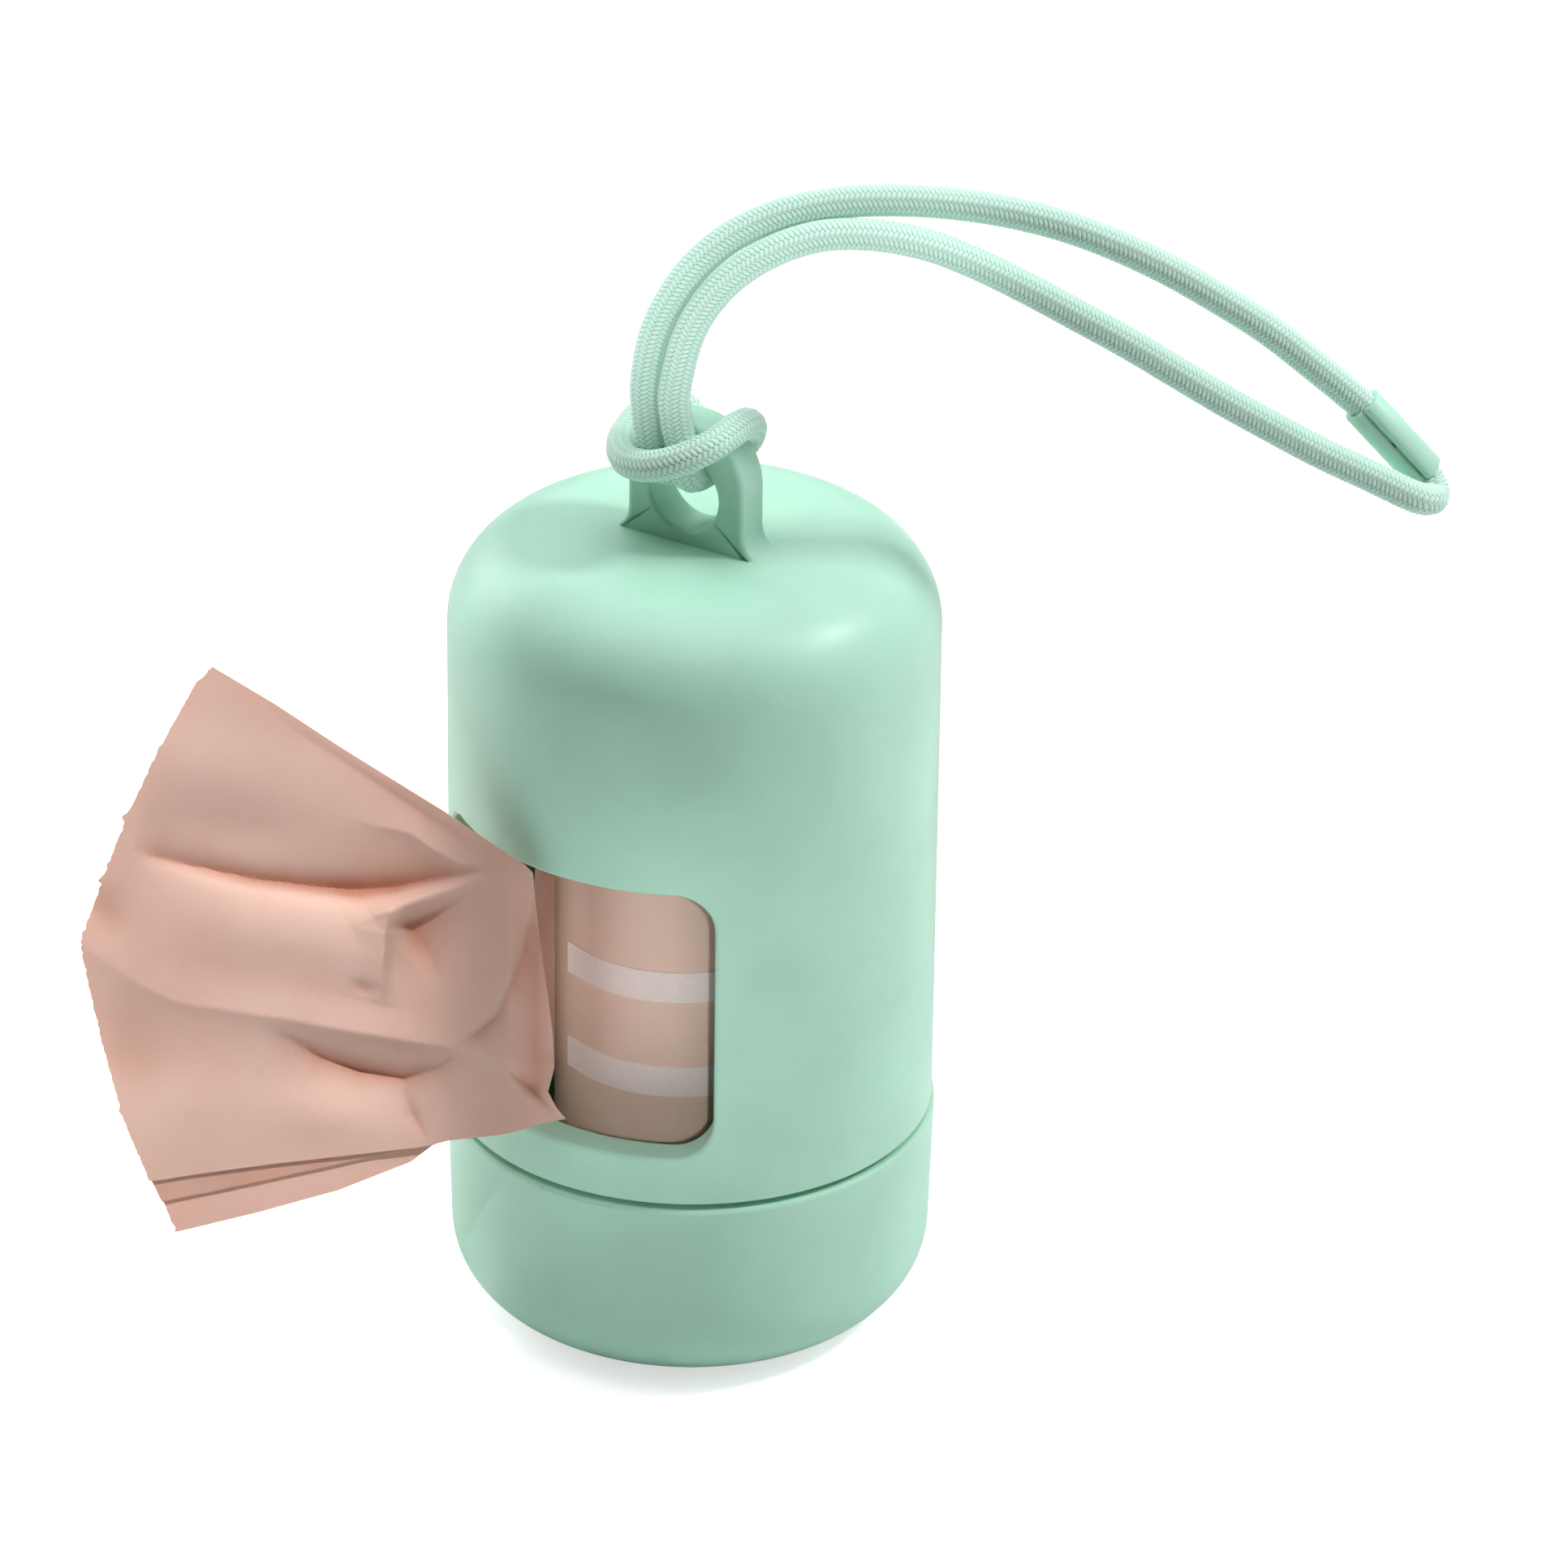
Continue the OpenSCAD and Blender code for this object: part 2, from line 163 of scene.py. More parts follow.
class Nodes:
    """A short way to write a node tree."""

    def __init__(self, name):
        self.material = bpy.data.materials.new(name)
        self.material.use_nodes = True
        self.tree = self.material.node_tree
        self.shader = self.tree.nodes["Principled BSDF"]
        self.output = self.tree.nodes["Material Output"]

    def add(self, kind, inputs=None, **settings):
        node = self.tree.nodes.new(kind)
        for key, value in settings.items():
            setattr(node, key, value)
        for key, value in (inputs or {}).items():
            self.put(node.inputs[key], value)
        return node

    def put(self, socket, value):
        if isinstance(value, bpy.types.NodeSocket):
            self.tree.links.new(value, socket)
        else:
            socket.default_value = value

    def set(self, **values):
        for key, value in values.items():
            self.put(self.shader.inputs[key.replace("_", " ")], value)

    def coords(self, kind="Object"):
        return self.add("ShaderNodeTexCoord").outputs[kind]

    def stretched(self, vector, *scale):
        return self.add("ShaderNodeMapping", {"Vector": vector, "Scale": scale}).outputs[0]

    def noise(self, vector, scale, detail=3.0, roughness=0.5):
        inputs = {"Vector": vector, "Scale": scale, "Detail": detail, "Roughness": roughness}
        return self.add("ShaderNodeTexNoise", inputs).outputs["Fac"]

    def blend(self, factor, a, b):
        node = self.add("ShaderNodeMix", data_type="RGBA")
        self.put(node.inputs["Factor"], factor)
        self.put(node.inputs["A"], a)
        self.put(node.inputs["B"], b)
        return node.outputs["Result"]

    def span(self, value, low, high, to_low, to_high):
        inputs = {"Value": value, "From Min": low, "From Max": high, "To Min": to_low, "To Max": to_high}
        return self.add("ShaderNodeMapRange", inputs).outputs["Result"]

    def math(self, operation, a, b=0.0):
        node = self.add("ShaderNodeMath", operation=operation)
        self.put(node.inputs[0], a)
        self.put(node.inputs[1], b)
        return node.outputs[0]

    def bump(self, height, strength, distance, normal=None):
        inputs = {"Height": height, "Strength": strength, "Distance": distance}
        if normal is not None:
            inputs["Normal"] = normal
        return self.add("ShaderNodeBump", inputs).outputs["Normal"]


def moulded_plastic(name, tint):
    """Satin moulded plastic: a faint cloud of colour, orange peel and a few fine scuffs."""
    n = Nodes(name)
    at = n.coords()
    cloud = n.noise(at, 90, 4)
    colour = n.blend(n.span(cloud, 0.3, 0.7, 0, 1), toned(tint, 0.95), toned(tint, 1.05))
    specks = n.span(n.noise(at, 1400, 2), 0.74, 0.8, 0, 0.35)
    n.set(Base_Color=n.blend(specks, colour, srgb("#E2F6EE")))
    n.set(Roughness=n.span(n.noise(at, 260, 5), 0.3, 0.7, 0.36, 0.46))
    peel = n.bump(n.noise(at, 1500, 3), 0.12, 0.00008)
    scuffs = n.span(n.noise(n.stretched(at, 900, 900, 120), 1, 2), 0.68, 0.76, 0, 1)
    n.set(Normal=n.bump(scuffs, 0.06, 0.00005, peel), IOR=1.46)
    return n.material


def bag_film(name, tint, shadow_tint, through_tint, fold_shade_tint, soft=0.34):
    """Thin filled film: fine creases, uneven thickness, painted shade deep in its folds and light that comes
    through.
    """
    n = Nodes(name)
    at = n.coords()
    cloud = n.noise(at, 60, 5, 0.6)
    colour = n.blend(n.span(cloud, 0.3, 0.7, 0, 1), shadow_tint, tint)
    # painted shade: deep in a fold the film's colour turns toward a deeper, more saturated tint
    fold = n.add("ShaderNodeAttribute", attribute_name="fold").outputs["Fac"]
    colour = n.blend(n.span(fold, 0, 1, 0, 0.85), colour, fold_shade_tint)
    n.set(Base_Color=colour, IOR=1.45)
    n.set(Roughness=n.span(n.noise(at, 300, 3), 0.3, 0.7, 0.42, 0.58))
    folds = n.noise(at, 160, 4, 0.55)
    grain = n.noise(at, 1800, 2)
    broad = n.bump(folds, 0.35, 0.0004)
    n.set(Normal=n.bump(grain, 0.08, 0.00006, broad))
    n.set(Specular_IOR_Level=0.35)
    through = n.add("ShaderNodeBsdfTranslucent", {"Color": through_tint})
    mixed = n.add("ShaderNodeMixShader", {0: soft, 1: n.shader.outputs[0], 2: through.outputs[0]})
    n.put(n.output.inputs["Surface"], mixed.outputs[0])
    return n.material


def wound_film(name, tint, dark):
    """The roll: film wound tight, with faint upright wrinkles and wound layers on its ends."""
    n = Nodes(name)
    at = n.coords()
    wrinkles = n.noise(n.stretched(at, 260, 260, 14), 1, 3, 0.5)
    colour = n.blend(n.span(wrinkles, 0.3, 0.7, 0.7, 1), dark, tint)
    xyz = n.add("ShaderNodeSeparateXYZ", {"Vector": at})
    x = n.math("ADD", xyz.outputs[0], 0.0008)
    y = n.math("ADD", xyz.outputs[1], 0.0006)
    squares = n.math("ADD", n.math("MULTIPLY", x, x), n.math("MULTIPLY", y, y))
    layers = n.math("SINE", n.math("MULTIPLY", n.math("SQRT", squares), 26000.0))
    end_face = n.add("ShaderNodeNewGeometry").outputs["Normal"]
    up = n.math("ABSOLUTE", n.add("ShaderNodeSeparateXYZ", {"Vector": end_face}).outputs[2])
    lines = n.math("MULTIPLY", n.span(layers, -1, 1, 0, 1), n.span(up, 0.6, 0.9, 0, 1))
    n.set(Base_Color=n.blend(n.math("MULTIPLY", lines, 0.45), colour, dark))
    n.set(Roughness=n.span(wrinkles, 0.3, 0.7, 0.4, 0.55), IOR=1.45)
    n.set(Normal=n.bump(n.math("ADD", wrinkles, lines), 0.12, 0.0001))
    return n.material


def tape_paper(name, tint):
    """Paper tape: short fibres and a dull face."""
    n = Nodes(name)
    fibres = n.noise(n.coords(), 1400, 4, 0.6)
    n.set(Base_Color=n.blend(n.span(fibres, 0.35, 0.65, 0, 1), tint, toned(tint, 1.04)))
    n.set(Roughness=0.8, Normal=n.bump(fibres, 0.15, 0.00004))
    return n.material


def wound_card(name, tint, dark):
    """The paper tube: spiral butt lines and card fibres."""
    n = Nodes(name)
    at = n.coords()
    fibres = n.noise(at, 900, 5, 0.7)
    grain = n.noise(n.stretched(at, 200, 200, 900), 1, 3)
    colour = n.blend(n.span(grain, 0.35, 0.65, 0, 1), dark, tint)
    n.set(Base_Color=n.blend(n.span(fibres, 0.55, 0.75, 0, 0.5), colour, srgb("#D9C7A8")))
    n.set(Roughness=0.88, Normal=n.bump(fibres, 0.4, 0.0001))
    return n.material


def braid(name, tint, dark, crest_highlight):
    """Braided yarn: each scale is darker at its edges, as painted shade between the yarns, lighter at its crest, as
    a painted highlight, and fine filaments run along it.
    """
    n = Nodes(name)
    uv = n.add("ShaderNodeUVMap", uv_map="Along").outputs[0]
    height = n.add("ShaderNodeAttribute", attribute_name="plait").outputs["Fac"]
    filaments = n.noise(n.stretched(uv, 260, 9, 1), 1, 3, 0.7)
    tone = n.math("ADD", n.math("MULTIPLY", height, 0.85), n.math("MULTIPLY", filaments, 0.25))
    # painted shade: low places between the yarns take the dark colour
    colour = n.blend(n.span(tone, 0.2, 0.62, 0, 1), dark, tint)
    # painted highlight: the yarns' crests take the bright colour
    n.set(Base_Color=n.blend(n.span(tone, 0.72, 1, 0, 0.9), colour, crest_highlight))
    n.set(Roughness=0.62, Sheen_Weight=0.35, Sheen_Roughness=0.4)
    n.set(Normal=n.bump(filaments, 0.35, 0.00006))
    return n.material


# ---------------------------------------------------------------- settings


def colour_setting(name, description, default):
    return bpy.props.FloatVectorProperty(
        name=name, description=description, subtype="COLOR", size=4, min=0, max=1, default=default
    )


def length_setting(name, description, default):
    return bpy.props.FloatProperty(
        name=name, description=description, default=default, min=0, unit="LENGTH", precision=5
    )


class FinishSettings(bpy.types.PropertyGroup):
    """Colours of the finishes."""

    plastic: colour_setting("Plastic", "Colour of the moulded plastic", srgb("#B2E2CC"))
    film: colour_setting("Film", "Colour of the bag film", srgb("#F2D3C2"))
    film_deep: colour_setting("Deep film", "Colour where the film is thicker", srgb("#E9C3B0"))
    film_through: colour_setting("Light through film", "Colour of light through the film", srgb("#CE8664"))
    # painted shade: the colour the film takes deep in its folds
    film_fold_shade: colour_setting("Film in folds", "Colour of the film deep in its folds", srgb("#CC8A70"))
    tape: colour_setting("Tape", "Colour of the paper tape", srgb("#F8E8E4"))
    card: colour_setting("Card", "Colour of the roll's paper core", srgb("#C2A67F"))
    cord: colour_setting("Cord", "Colour of the cord's yarn", srgb("#CDF2E2"))
    # painted shade between the yarns, and a painted highlight on their crests
    cord_painted_shade: colour_setting("Cord shade", "Colour between the yarns", srgb("#79AE98"))
    cord_painted_highlight: colour_setting("Cord light", "Colour of the yarns' crests", srgb("#E2FBF1"))


class HousingSettings(bpy.types.PropertyGroup):
    """Roundings that the solids leave plain."""

    window_outer_edge: length_setting("Window outer edge", "Rounding of the window outside", 0.00045)
    window_inner_edge: length_setting("Window inner edge", "Rounding of the window inside", 0.00025)
    lug_edge: length_setting("Lug edge", "Rounding of the lug's edges", 0.0007)


class CordSettings(bpy.types.PropertyGroup):
    """The braided cord."""

    diameter: length_setting("Diameter", "Diameter of the cord", 0.003)
    rib_pitch: length_setting("Rib pitch", "Length of one plait of the braid", 0.00045)
    rib_depth: length_setting("Rib depth", "Depth between two plaits", 0.0002)
    columns: bpy.props.IntProperty(name="Columns", description="Columns of plaits round the cord", default=12)


# ---------------------------------------------------------------- stage


class BAGS_OT_stage(bpy.types.Operator):
    """Adds the camera, the lamps and the pale floor"""

    bl_idname = "bags.stage"
    bl_label = "Stage"

    def execute(self, context):
        add_camera()
        add_lamps()
        add_world()
        add_floor()
        context.scene.view_settings.view_transform = "Standard"
        return {"FINISHED"}


def add_camera():
    """The camera as fitted to the photograph: it aims a little beside the object and is rolled a little."""
    target = np.array([0, 0, 0.040])
    distance = 0.8
    aim_right = 0.00837
    aim_up = 0.01087
    roll = math.radians(0.458)
    view_up = UP * math.cos(VIEW_ELEVATION) - VIEW_NEAR * math.sin(VIEW_ELEVATION)
    place = target + distance * TOWARD_CAMERA
    aim = target + aim_right * VIEW_RIGHT + aim_up * view_up
    back = place - aim
    back = back / np.linalg.norm(back)
    right = VIEW_RIGHT * math.cos(roll) + view_up * math.sin(roll)
    right = right - back * right.dot(back)
    right = right / np.linalg.norm(right)
    top = np.cross(back, right)
    bpy.ops.object.camera_add(location=tuple(place))
    camera = bpy.context.object
    camera.name = "camera"
    rows = [[right[i], top[i], back[i], place[i]] for i in range(3)]
    camera.matrix_world = Matrix([*rows, [0, 0, 0, 1]])
    camera.data.sensor_width = 36
    camera.data.lens = 198.8
    camera.data.clip_start = 0.01
    bpy.context.scene.camera = camera


def add_panel(name, right, near, height, size, power, look=(0, 0, 0.045)):
    """A soft panel lamp, placed by the camera's right and near directions."""
    place = Vector(view_point(right, near, height))
    bpy.ops.object.light_add(type="AREA", location=place)
    lamp = bpy.context.object
    lamp.name = name
    lamp.data.shape = "RECTANGLE"
    lamp.data.size, lamp.data.size_y = size
    lamp.data.energy = power
    lamp.rotation_euler = (Vector(look) - place).to_track_quat("-Z", "Y").to_euler()
    return lamp


def add_beam(name, place, look, size, spread, power):
    """A narrow straight beam; both places are right, near and height."""
    lamp = add_panel(name, *place, size, power, view_point(*look))
    lamp.data.spread = math.radians(spread)


def add_lamps():
    add_panel("right_panel", 0.75, 0.10, 0.30, (0.7, 0.8), 1.02)
    add_panel("back_panel", 0.25, -0.75, 0.55, (1.0, 0.6), 1.72)
    add_panel("top_panel", 0.05, -0.05, 0.85, (0.9, 0.9), 5.3)
    add_panel("left_panel", -0.80, -0.15, 0.30, (0.5, 0.8), 1.44)
    add_panel("left_back_panel", -0.6, -0.6, 0.45, (0.6, 0.6), 3.4)
    add_panel("right_back_panel", 0.7, -0.45, 0.35, (0.6, 0.6), 0.46)
    # a smaller panel gives the shadows of the lug and the hitch
    add_panel("key_panel", 0.58, 0.0, 0.68, (0.12, 0.12), 3.3, (0, 0, 0.07))
    # narrow beams: on the roll through the window, along the film's creases, and on the cord; the
    # first comes down as steeply as the camera looks, so the window's lip casts no shadow in view
    slope = math.tan(VIEW_ELEVATION)
    add_beam("window_beam", (0.03, 0.60, 0.035 + 0.58 * slope), (-0.005, 0.011, 0.035), (0.014, 0.032), 3.0, 0.00088)
    add_beam("film_beam", (-0.1235, 0.34, 0.655), (-0.0765, 0.014, 0.062), (0.108, 0.045), 1.5, 0.0187)
    add_beam("cord_beam", (-0.10, 0.60, 0.30), (0.008, 0.0, 0.100), (0.036, 0.020), 1.5, 0.0013)


def add_world():
    """White where the camera sees it, and hardly any light from it."""
    world = bpy.context.scene.world or bpy.data.worlds.new("world")
    bpy.context.scene.world = world
    world.use_nodes = True
    tree = world.node_tree
    tree.nodes.clear()
    seen = tree.nodes.new("ShaderNodeLightPath")
    mix = tree.nodes.new("ShaderNodeMixShader")
    out = tree.nodes.new("ShaderNodeOutputWorld")
    for socket, strength in ((mix.inputs[1], 0.005), (mix.inputs[2], 1.0)):
        white = tree.nodes.new("ShaderNodeBackground")
        white.inputs["Color"].default_value = (1, 1, 1, 1)
        white.inputs["Strength"].default_value = strength
        tree.links.new(white.outputs[0], socket)
    tree.links.new(seen.outputs["Is Camera Ray"], mix.inputs[0])
    tree.links.new(mix.outputs[0], out.inputs["Surface"])


def add_floor():
    deselect_all()
    bpy.ops.mesh.primitive_plane_add(size=6, location=(0, 0, -0.0002))
    floor = bpy.context.object
    floor.name = "floor"
    n = Nodes("pale_floor")
    n.set(Base_Color=(0.88, 0.88, 0.88, 1), Roughness=0.9)
    # the glow is for the camera only: it lights nothing
    seen = n.add("ShaderNodeLightPath").outputs["Is Camera Ray"]
    glow = n.add("ShaderNodeEmission", {"Color": (1, 1, 1, 1), "Strength": 0.62}).outputs[0]
    dark = n.add("ShaderNodeEmission", {"Color": (0, 0, 0, 1), "Strength": 0.0}).outputs[0]
    pick = n.add("ShaderNodeMixShader", {0: seen, 1: dark, 2: glow}).outputs[0]
    both = n.add("ShaderNodeAddShader", {0: n.shader.outputs[0], 1: pick}).outputs[0]
    n.put(n.output.inputs["Surface"], both)
    floor.data.materials.append(n.material)


# ---------------------------------------------------------------- wrist cord

# The cord's route in metres, the same as the solid's
CORD_ROUTE = [
    (p[0] * MM, p[1] * MM, p[2] * MM)
    for p in (
        (48.8, 39.3, 87.2), (46.6, 37.6, 90.3), (43.2, 34.7, 94.3), (40, 31.9, 97.9), (36.6, 29, 101),
        (33.1, 26, 103.9), (29.5, 22.9, 106.4), (25.8, 19.8, 108.4), (21.9, 16.6, 109.8),
        (18, 13.3, 110.7), (14.1, 10, 111.1), (10.2, 6.8, 110.9), (6.3, 3.6, 109.8), (2.8, 0.7, 107.5),
        (0, -1.7, 103.8), (-1.9, -3.4, 98.9), (-2.6, -4, 94), (-2.5, -4, 91), (-2.1, -4, 88.6),
        (-1.7, -3.9, 86.7), (-1.3, -3.4, 85.6), (-1.2, -2.3, 84.8), (-1.2, -0.3, 84.5), (-1.4, 1.7, 84.5),
        (-1.9, 3, 85.1), (-2.6, 3.6, 86.2), (-3.5, 3.7, 87.4), (-4.7, 3.2, 88.3), (-5.7, 1.9, 88.5),
        (-6.2, 0.2, 88), (-6.1, -1.7, 87.3), (-5.5, -3.6, 86.9), (-4.2, -5.3, 86.7),
        (-2.4, -6.5, 86.7), (-0.2, -6.8, 87.1), (1.8, -6.3, 87.8), (3.4, -5.1, 88.6), (4.4, -3.5, 89.3),
        (4.7, -1.7, 89.7), (4.6, 0.2, 89.8), (4.2, 2, 89.3), (3.6, 3.4, 88.2), (2.9, 3.9, 86.9),
        (2.1, 3.8, 85.7), (1.5, 3.1, 84.9), (1.2, 1.7, 84.5), (1.2, -0.1, 84.5), (1.3, -2, 84.7),
        (1.4, -3.2, 85.5), (1.4, -3.7, 86.7), (1.1, -3.7, 88.6), (0.6, -3.8, 91), (0.5, -3.8, 94),
        (1.5, -2.9, 99.5), (3.6, -1.1, 103.8), (6.7, 1.3, 106.9), (10.3, 4.2, 108.6),
        (14.1, 7.2, 108.7), (17.9, 10.2, 107.7), (21.5, 13, 105.8), (25, 15.8, 103.4),
        (28.4, 18.6, 100.8), (31.9, 21.3, 98.2), (35.3, 24, 95.4), (38.7, 26.7, 92.6),
        (42.2, 29.5, 89.9), (45.7, 32.3, 87.3), (49.3, 35.1, 85), (52.3, 37.5, 83),
        (53.1, 38.9, 82.3), (53, 40.3, 82), (52.3, 41.1, 82.5), (51.3, 41.2, 83.6), (49.1, 39.5, 86.7),
    )
]


def smooth_path(route, step):
    """A Catmull-Rom curve through the route, as points at an even spacing."""
    points = np.array(route)
    padded = np.vstack([2 * points[0] - points[1], points, 2 * points[-1] - points[-2]])
    fine = []
    for i in range(len(points) - 1):
        p0, p1, p2, p3 = padded[i : i + 4]
        t = np.linspace(0, 1, 24, endpoint=False)[:, None]
        fine.append(
            0.5
            * (
                2 * p1
                + (p2 - p0) * t
                + (2 * p0 - 5 * p1 + 4 * p2 - p3) * t**2
                + (3 * p1 - p0 - 3 * p2 + p3) * t**3
            )
        )
    fine = np.vstack([*fine, points[-1:]])
    run = np.concatenate([[0], np.cumsum(np.linalg.norm(np.diff(fine, axis=0), axis=1))])
    count = int(round(run[-1] / step))
    even = np.linspace(0, run[-1], count + 1)
    return np.column_stack([np.interp(even, run, fine[:, k]) for k in range(3)]), run[-1]


def side_vectors(path):
    """Two side vectors for each point, turned as little as possible along the path."""
    along = np.gradient(path, axis=0)
    along /= np.linalg.norm(along, axis=1)[:, None]
    side = np.zeros_like(path)
    now = np.array([0, 0, 1.0])
    for i, d in enumerate(along):
        now = now - d * now.dot(d)
        now /= np.linalg.norm(now)
        side[i] = now
    return side, np.cross(along, side)


def plait_height(run, column, pitch):
    """Height of the braid, 0 to 1, at a run along the cord and a place round it in columns."""
    whole = np.floor(column)
    across = 2 * (column - whole) - 1
    lean = np.where(whole % 2 == 0, 1.0, -1.0)
    phase = run / pitch + 0.5 * (whole % 2) + 0.3 * lean * across
    rib = np.abs(np.sin(math.pi * phase)) ** 0.75
    crown = np.cos(across * math.pi / 2) ** 0.6
    return rib * (0.45 + 0.55 * crown)


class BAGS_OT_wrist_cord(bpy.types.Operator):
    """Makes the braided elastic cord along its route"""

    bl_idname = "bags.wrist_cord"
    bl_label = "Wrist cord"

    def execute(self, context):
        sizes = context.scene.bags_cord
        finish = context.scene.bags_finish
        pitch = sizes.rib_pitch
        steps_per_rib = 4
        points_per_column = 4
        path, length = smooth_path(CORD_ROUTE, pitch / steps_per_rib)
        side, other = side_vectors(path)
        around = sizes.columns * points_per_column
        rings = len(path)
        run = np.linspace(0, length, rings)[:, None]
        column = ((np.arange(around) + 0.5) / points_per_column)[None, :]
        height = plait_height(run, column, pitch)
        # the crimp squeezes the two ends that lie in the ferrule
        crimp_run, crimp_fade, crimp_share = 0.0035, 0.002, 0.07
        from_end = np.minimum(run, length - run)
        squeeze = 1 - crimp_share * np.clip(1 - (from_end - crimp_run) / crimp_fade, 0, 1)
        radius = (sizes.diameter / 2 - sizes.rib_depth * (1 - height)) * squeeze
        turn = np.arange(around)[None, :] / around * FULL_TURN
        points = (
            path[:, None, :]
            + radius[..., None] * (np.cos(turn)[..., None] * side[:, None, :])
            + radius[..., None] * (np.sin(turn)[..., None] * other[:, None, :])
        ).reshape(-1, 3)

        def at(i, j):
            return i * around + j % around

        faces = [
            (at(i, j), at(i, j + 1), at(i + 1, j + 1), at(i + 1, j))
            for i in range(rings - 1)
            for j in range(around)
        ]
        faces.append(tuple(range(around - 1, -1, -1)))
        faces.append(tuple((rings - 1) * around + j for j in range(around)))
        cord = new_mesh("braided_cord", points / MM, faces)
        # the braid's height, which also sets the painted shade and painted highlight in the yarn's colour
        plait = cord.data.attributes.new("plait", "FLOAT", "POINT")
        plait.data.foreach_set("value", height.reshape(-1).astype(np.float32))
        layer = cord.data.uv_layers.new(name="Along")
        for polygon in cord.data.polygons:
            for loop in polygon.loop_indices:
                vertex = cord.data.loops[loop].vertex_index
                ring, place = divmod(vertex, around)
                if place == 0 and polygon.index % around == around - 1:
                    place = around
                layer.data[loop].uv = (place / around, ring / rings * length / pitch)
        shade(cord, 80)
        material = braid("braided_yarn", finish.cord, finish.cord_painted_shade, finish.cord_painted_highlight)
        finish_piece(cord, "housing", "cord_braid", material, "wrist_cord")
        return {"FINISHED"}


# ---------------------------------------------------------------- housing

# Sizes of the housing in millimetres, the same as the solid's
BODY_R = 22.5
BORE_R = 19.5
MOUTH_R = 20.9
SEAM_Z = 20.65
STEP_Z = 24.55
TOP_Z = 77.7
CEILING_Z = 74.7
SHOULDER_R = 8.5
INNER_SHOULDER_R = 5.5
BOTTOM_EDGE_R = 0.3

WINDOW_LOW = 25.4
WINDOW_HIGH = 52.6
WINDOW_CORNER_R = 3.8
# Half of the angle between the middles of the window's corners
WINDOW_HALF_SECTOR = 32.475
# The window faces -Y
WINDOW_FACES = -90

# The patch of the wall round the window: its half angle, and its heights outside and inside
PATCH_HALF = 48
PATCH_OUTER = (23.2, 55.2)
PATCH_INNER = (24.65, 54.6)
PATCH_COLUMNS = 96
PATCH_ROWS = 50
# How many of a patch side's steps lie on half of a corner's arc
CORNER_STEPS_ALONG = 8
CORNER_STEPS_UP = 6

LUG_HALF_W = 6.1
LUG_HALF_T = 2.1
LUG_ROUND_Z = 83.7
LUG_TURN = 5
EYE_R = 3.55
EYE_Z = 82.6
EYE_EDGE = 0.45
# How far the lug's feet flare out sideways, and from what height
FLARE_OUT = 1.9
FLARE_UP = 2.3
LUG_SUNK = 1.2


def ring_points(theta, radius, height):
    turn = np.radians(theta)
    return np.column_stack([radius * np.cos(turn), radius * np.sin(turn), height + 0 * turn])


def window_outline(grow, radius):
    """Angles and heights round the window, grown by a margin, in the order of the patch's rim."""
    along = PATCH_COLUMNS - 2 * CORNER_STEPS_ALONG
    up = PATCH_ROWS - 2 * CORNER_STEPS_UP
    corner = WINDOW_CORNER_R + grow
    low, high = WINDOW_LOW + WINDOW_CORNER_R, WINDOW_HIGH - WINDOW_CORNER_R

    def turned(side, degrees, z):
        over = math.degrees(math.asin(corner * abs(math.cos(math.radians(degrees))) / radius))
        return (side * (WINDOW_HALF_SECTOR + over), z + corner * math.sin(math.radians(degrees)))

    def bend(side, z, start, steps):
        return [turned(side, start + 45 * i / steps, z) for i in range(steps)]

    rim = bend(-1, low, 225, CORNER_STEPS_ALONG)
    rim += [(WINDOW_HALF_SECTOR * (2 * i / along - 1), WINDOW_LOW - grow) for i in range(along)]
    rim += bend(1, low, 270, CORNER_STEPS_ALONG) + bend(1, low, 315, CORNER_STEPS_UP)
    reach = WINDOW_HALF_SECTOR + math.degrees(math.asin(corner / radius))
    rim += [(reach, low + (high - low) * i / up) for i in range(up)]
    rim += bend(1, high, 0, CORNER_STEPS_UP) + bend(1, high, 45, CORNER_STEPS_ALONG)
    rim += [(WINDOW_HALF_SECTOR * (1 - 2 * i / along), WINDOW_HIGH + grow) for i in range(along)]
    rim += bend(-1, high, 90, CORNER_STEPS_ALONG) + bend(-1, high, 135, CORNER_STEPS_UP)
    rim += [(-reach, high - (high - low) * i / up) for i in range(up)]
    rim += bend(-1, low, 180, CORNER_STEPS_UP)
    return np.array(rim)


class Shell:
    """Points and faces of a mesh that grows by rings."""

    def __init__(self):
        self.points = []
        self.faces = []

    def ring(self, points):
        first = len(self.points)
        self.points.extend(tuple(p) for p in points)
        return list(range(first, first + len(points)))

    def strip(self, rings):
        """Joins each closed ring to the next."""
        for one, two in zip(rings, rings[1:]):
            for i in range(len(one)):
                k = (i + 1) % len(one)
                self.faces.append((one[i], one[k], two[k], two[i]))

    def solid(self, name, rings, angle=40):
        """A finished mesh of rings that are joined and closed at both ends."""
        self.strip(rings)
        self.faces += [tuple(rings[0]), tuple(rings[-1])]
        obj = new_mesh(name, self.points, self.faces)
        clean_mesh(obj)
        shade(obj, angle)
        return obj


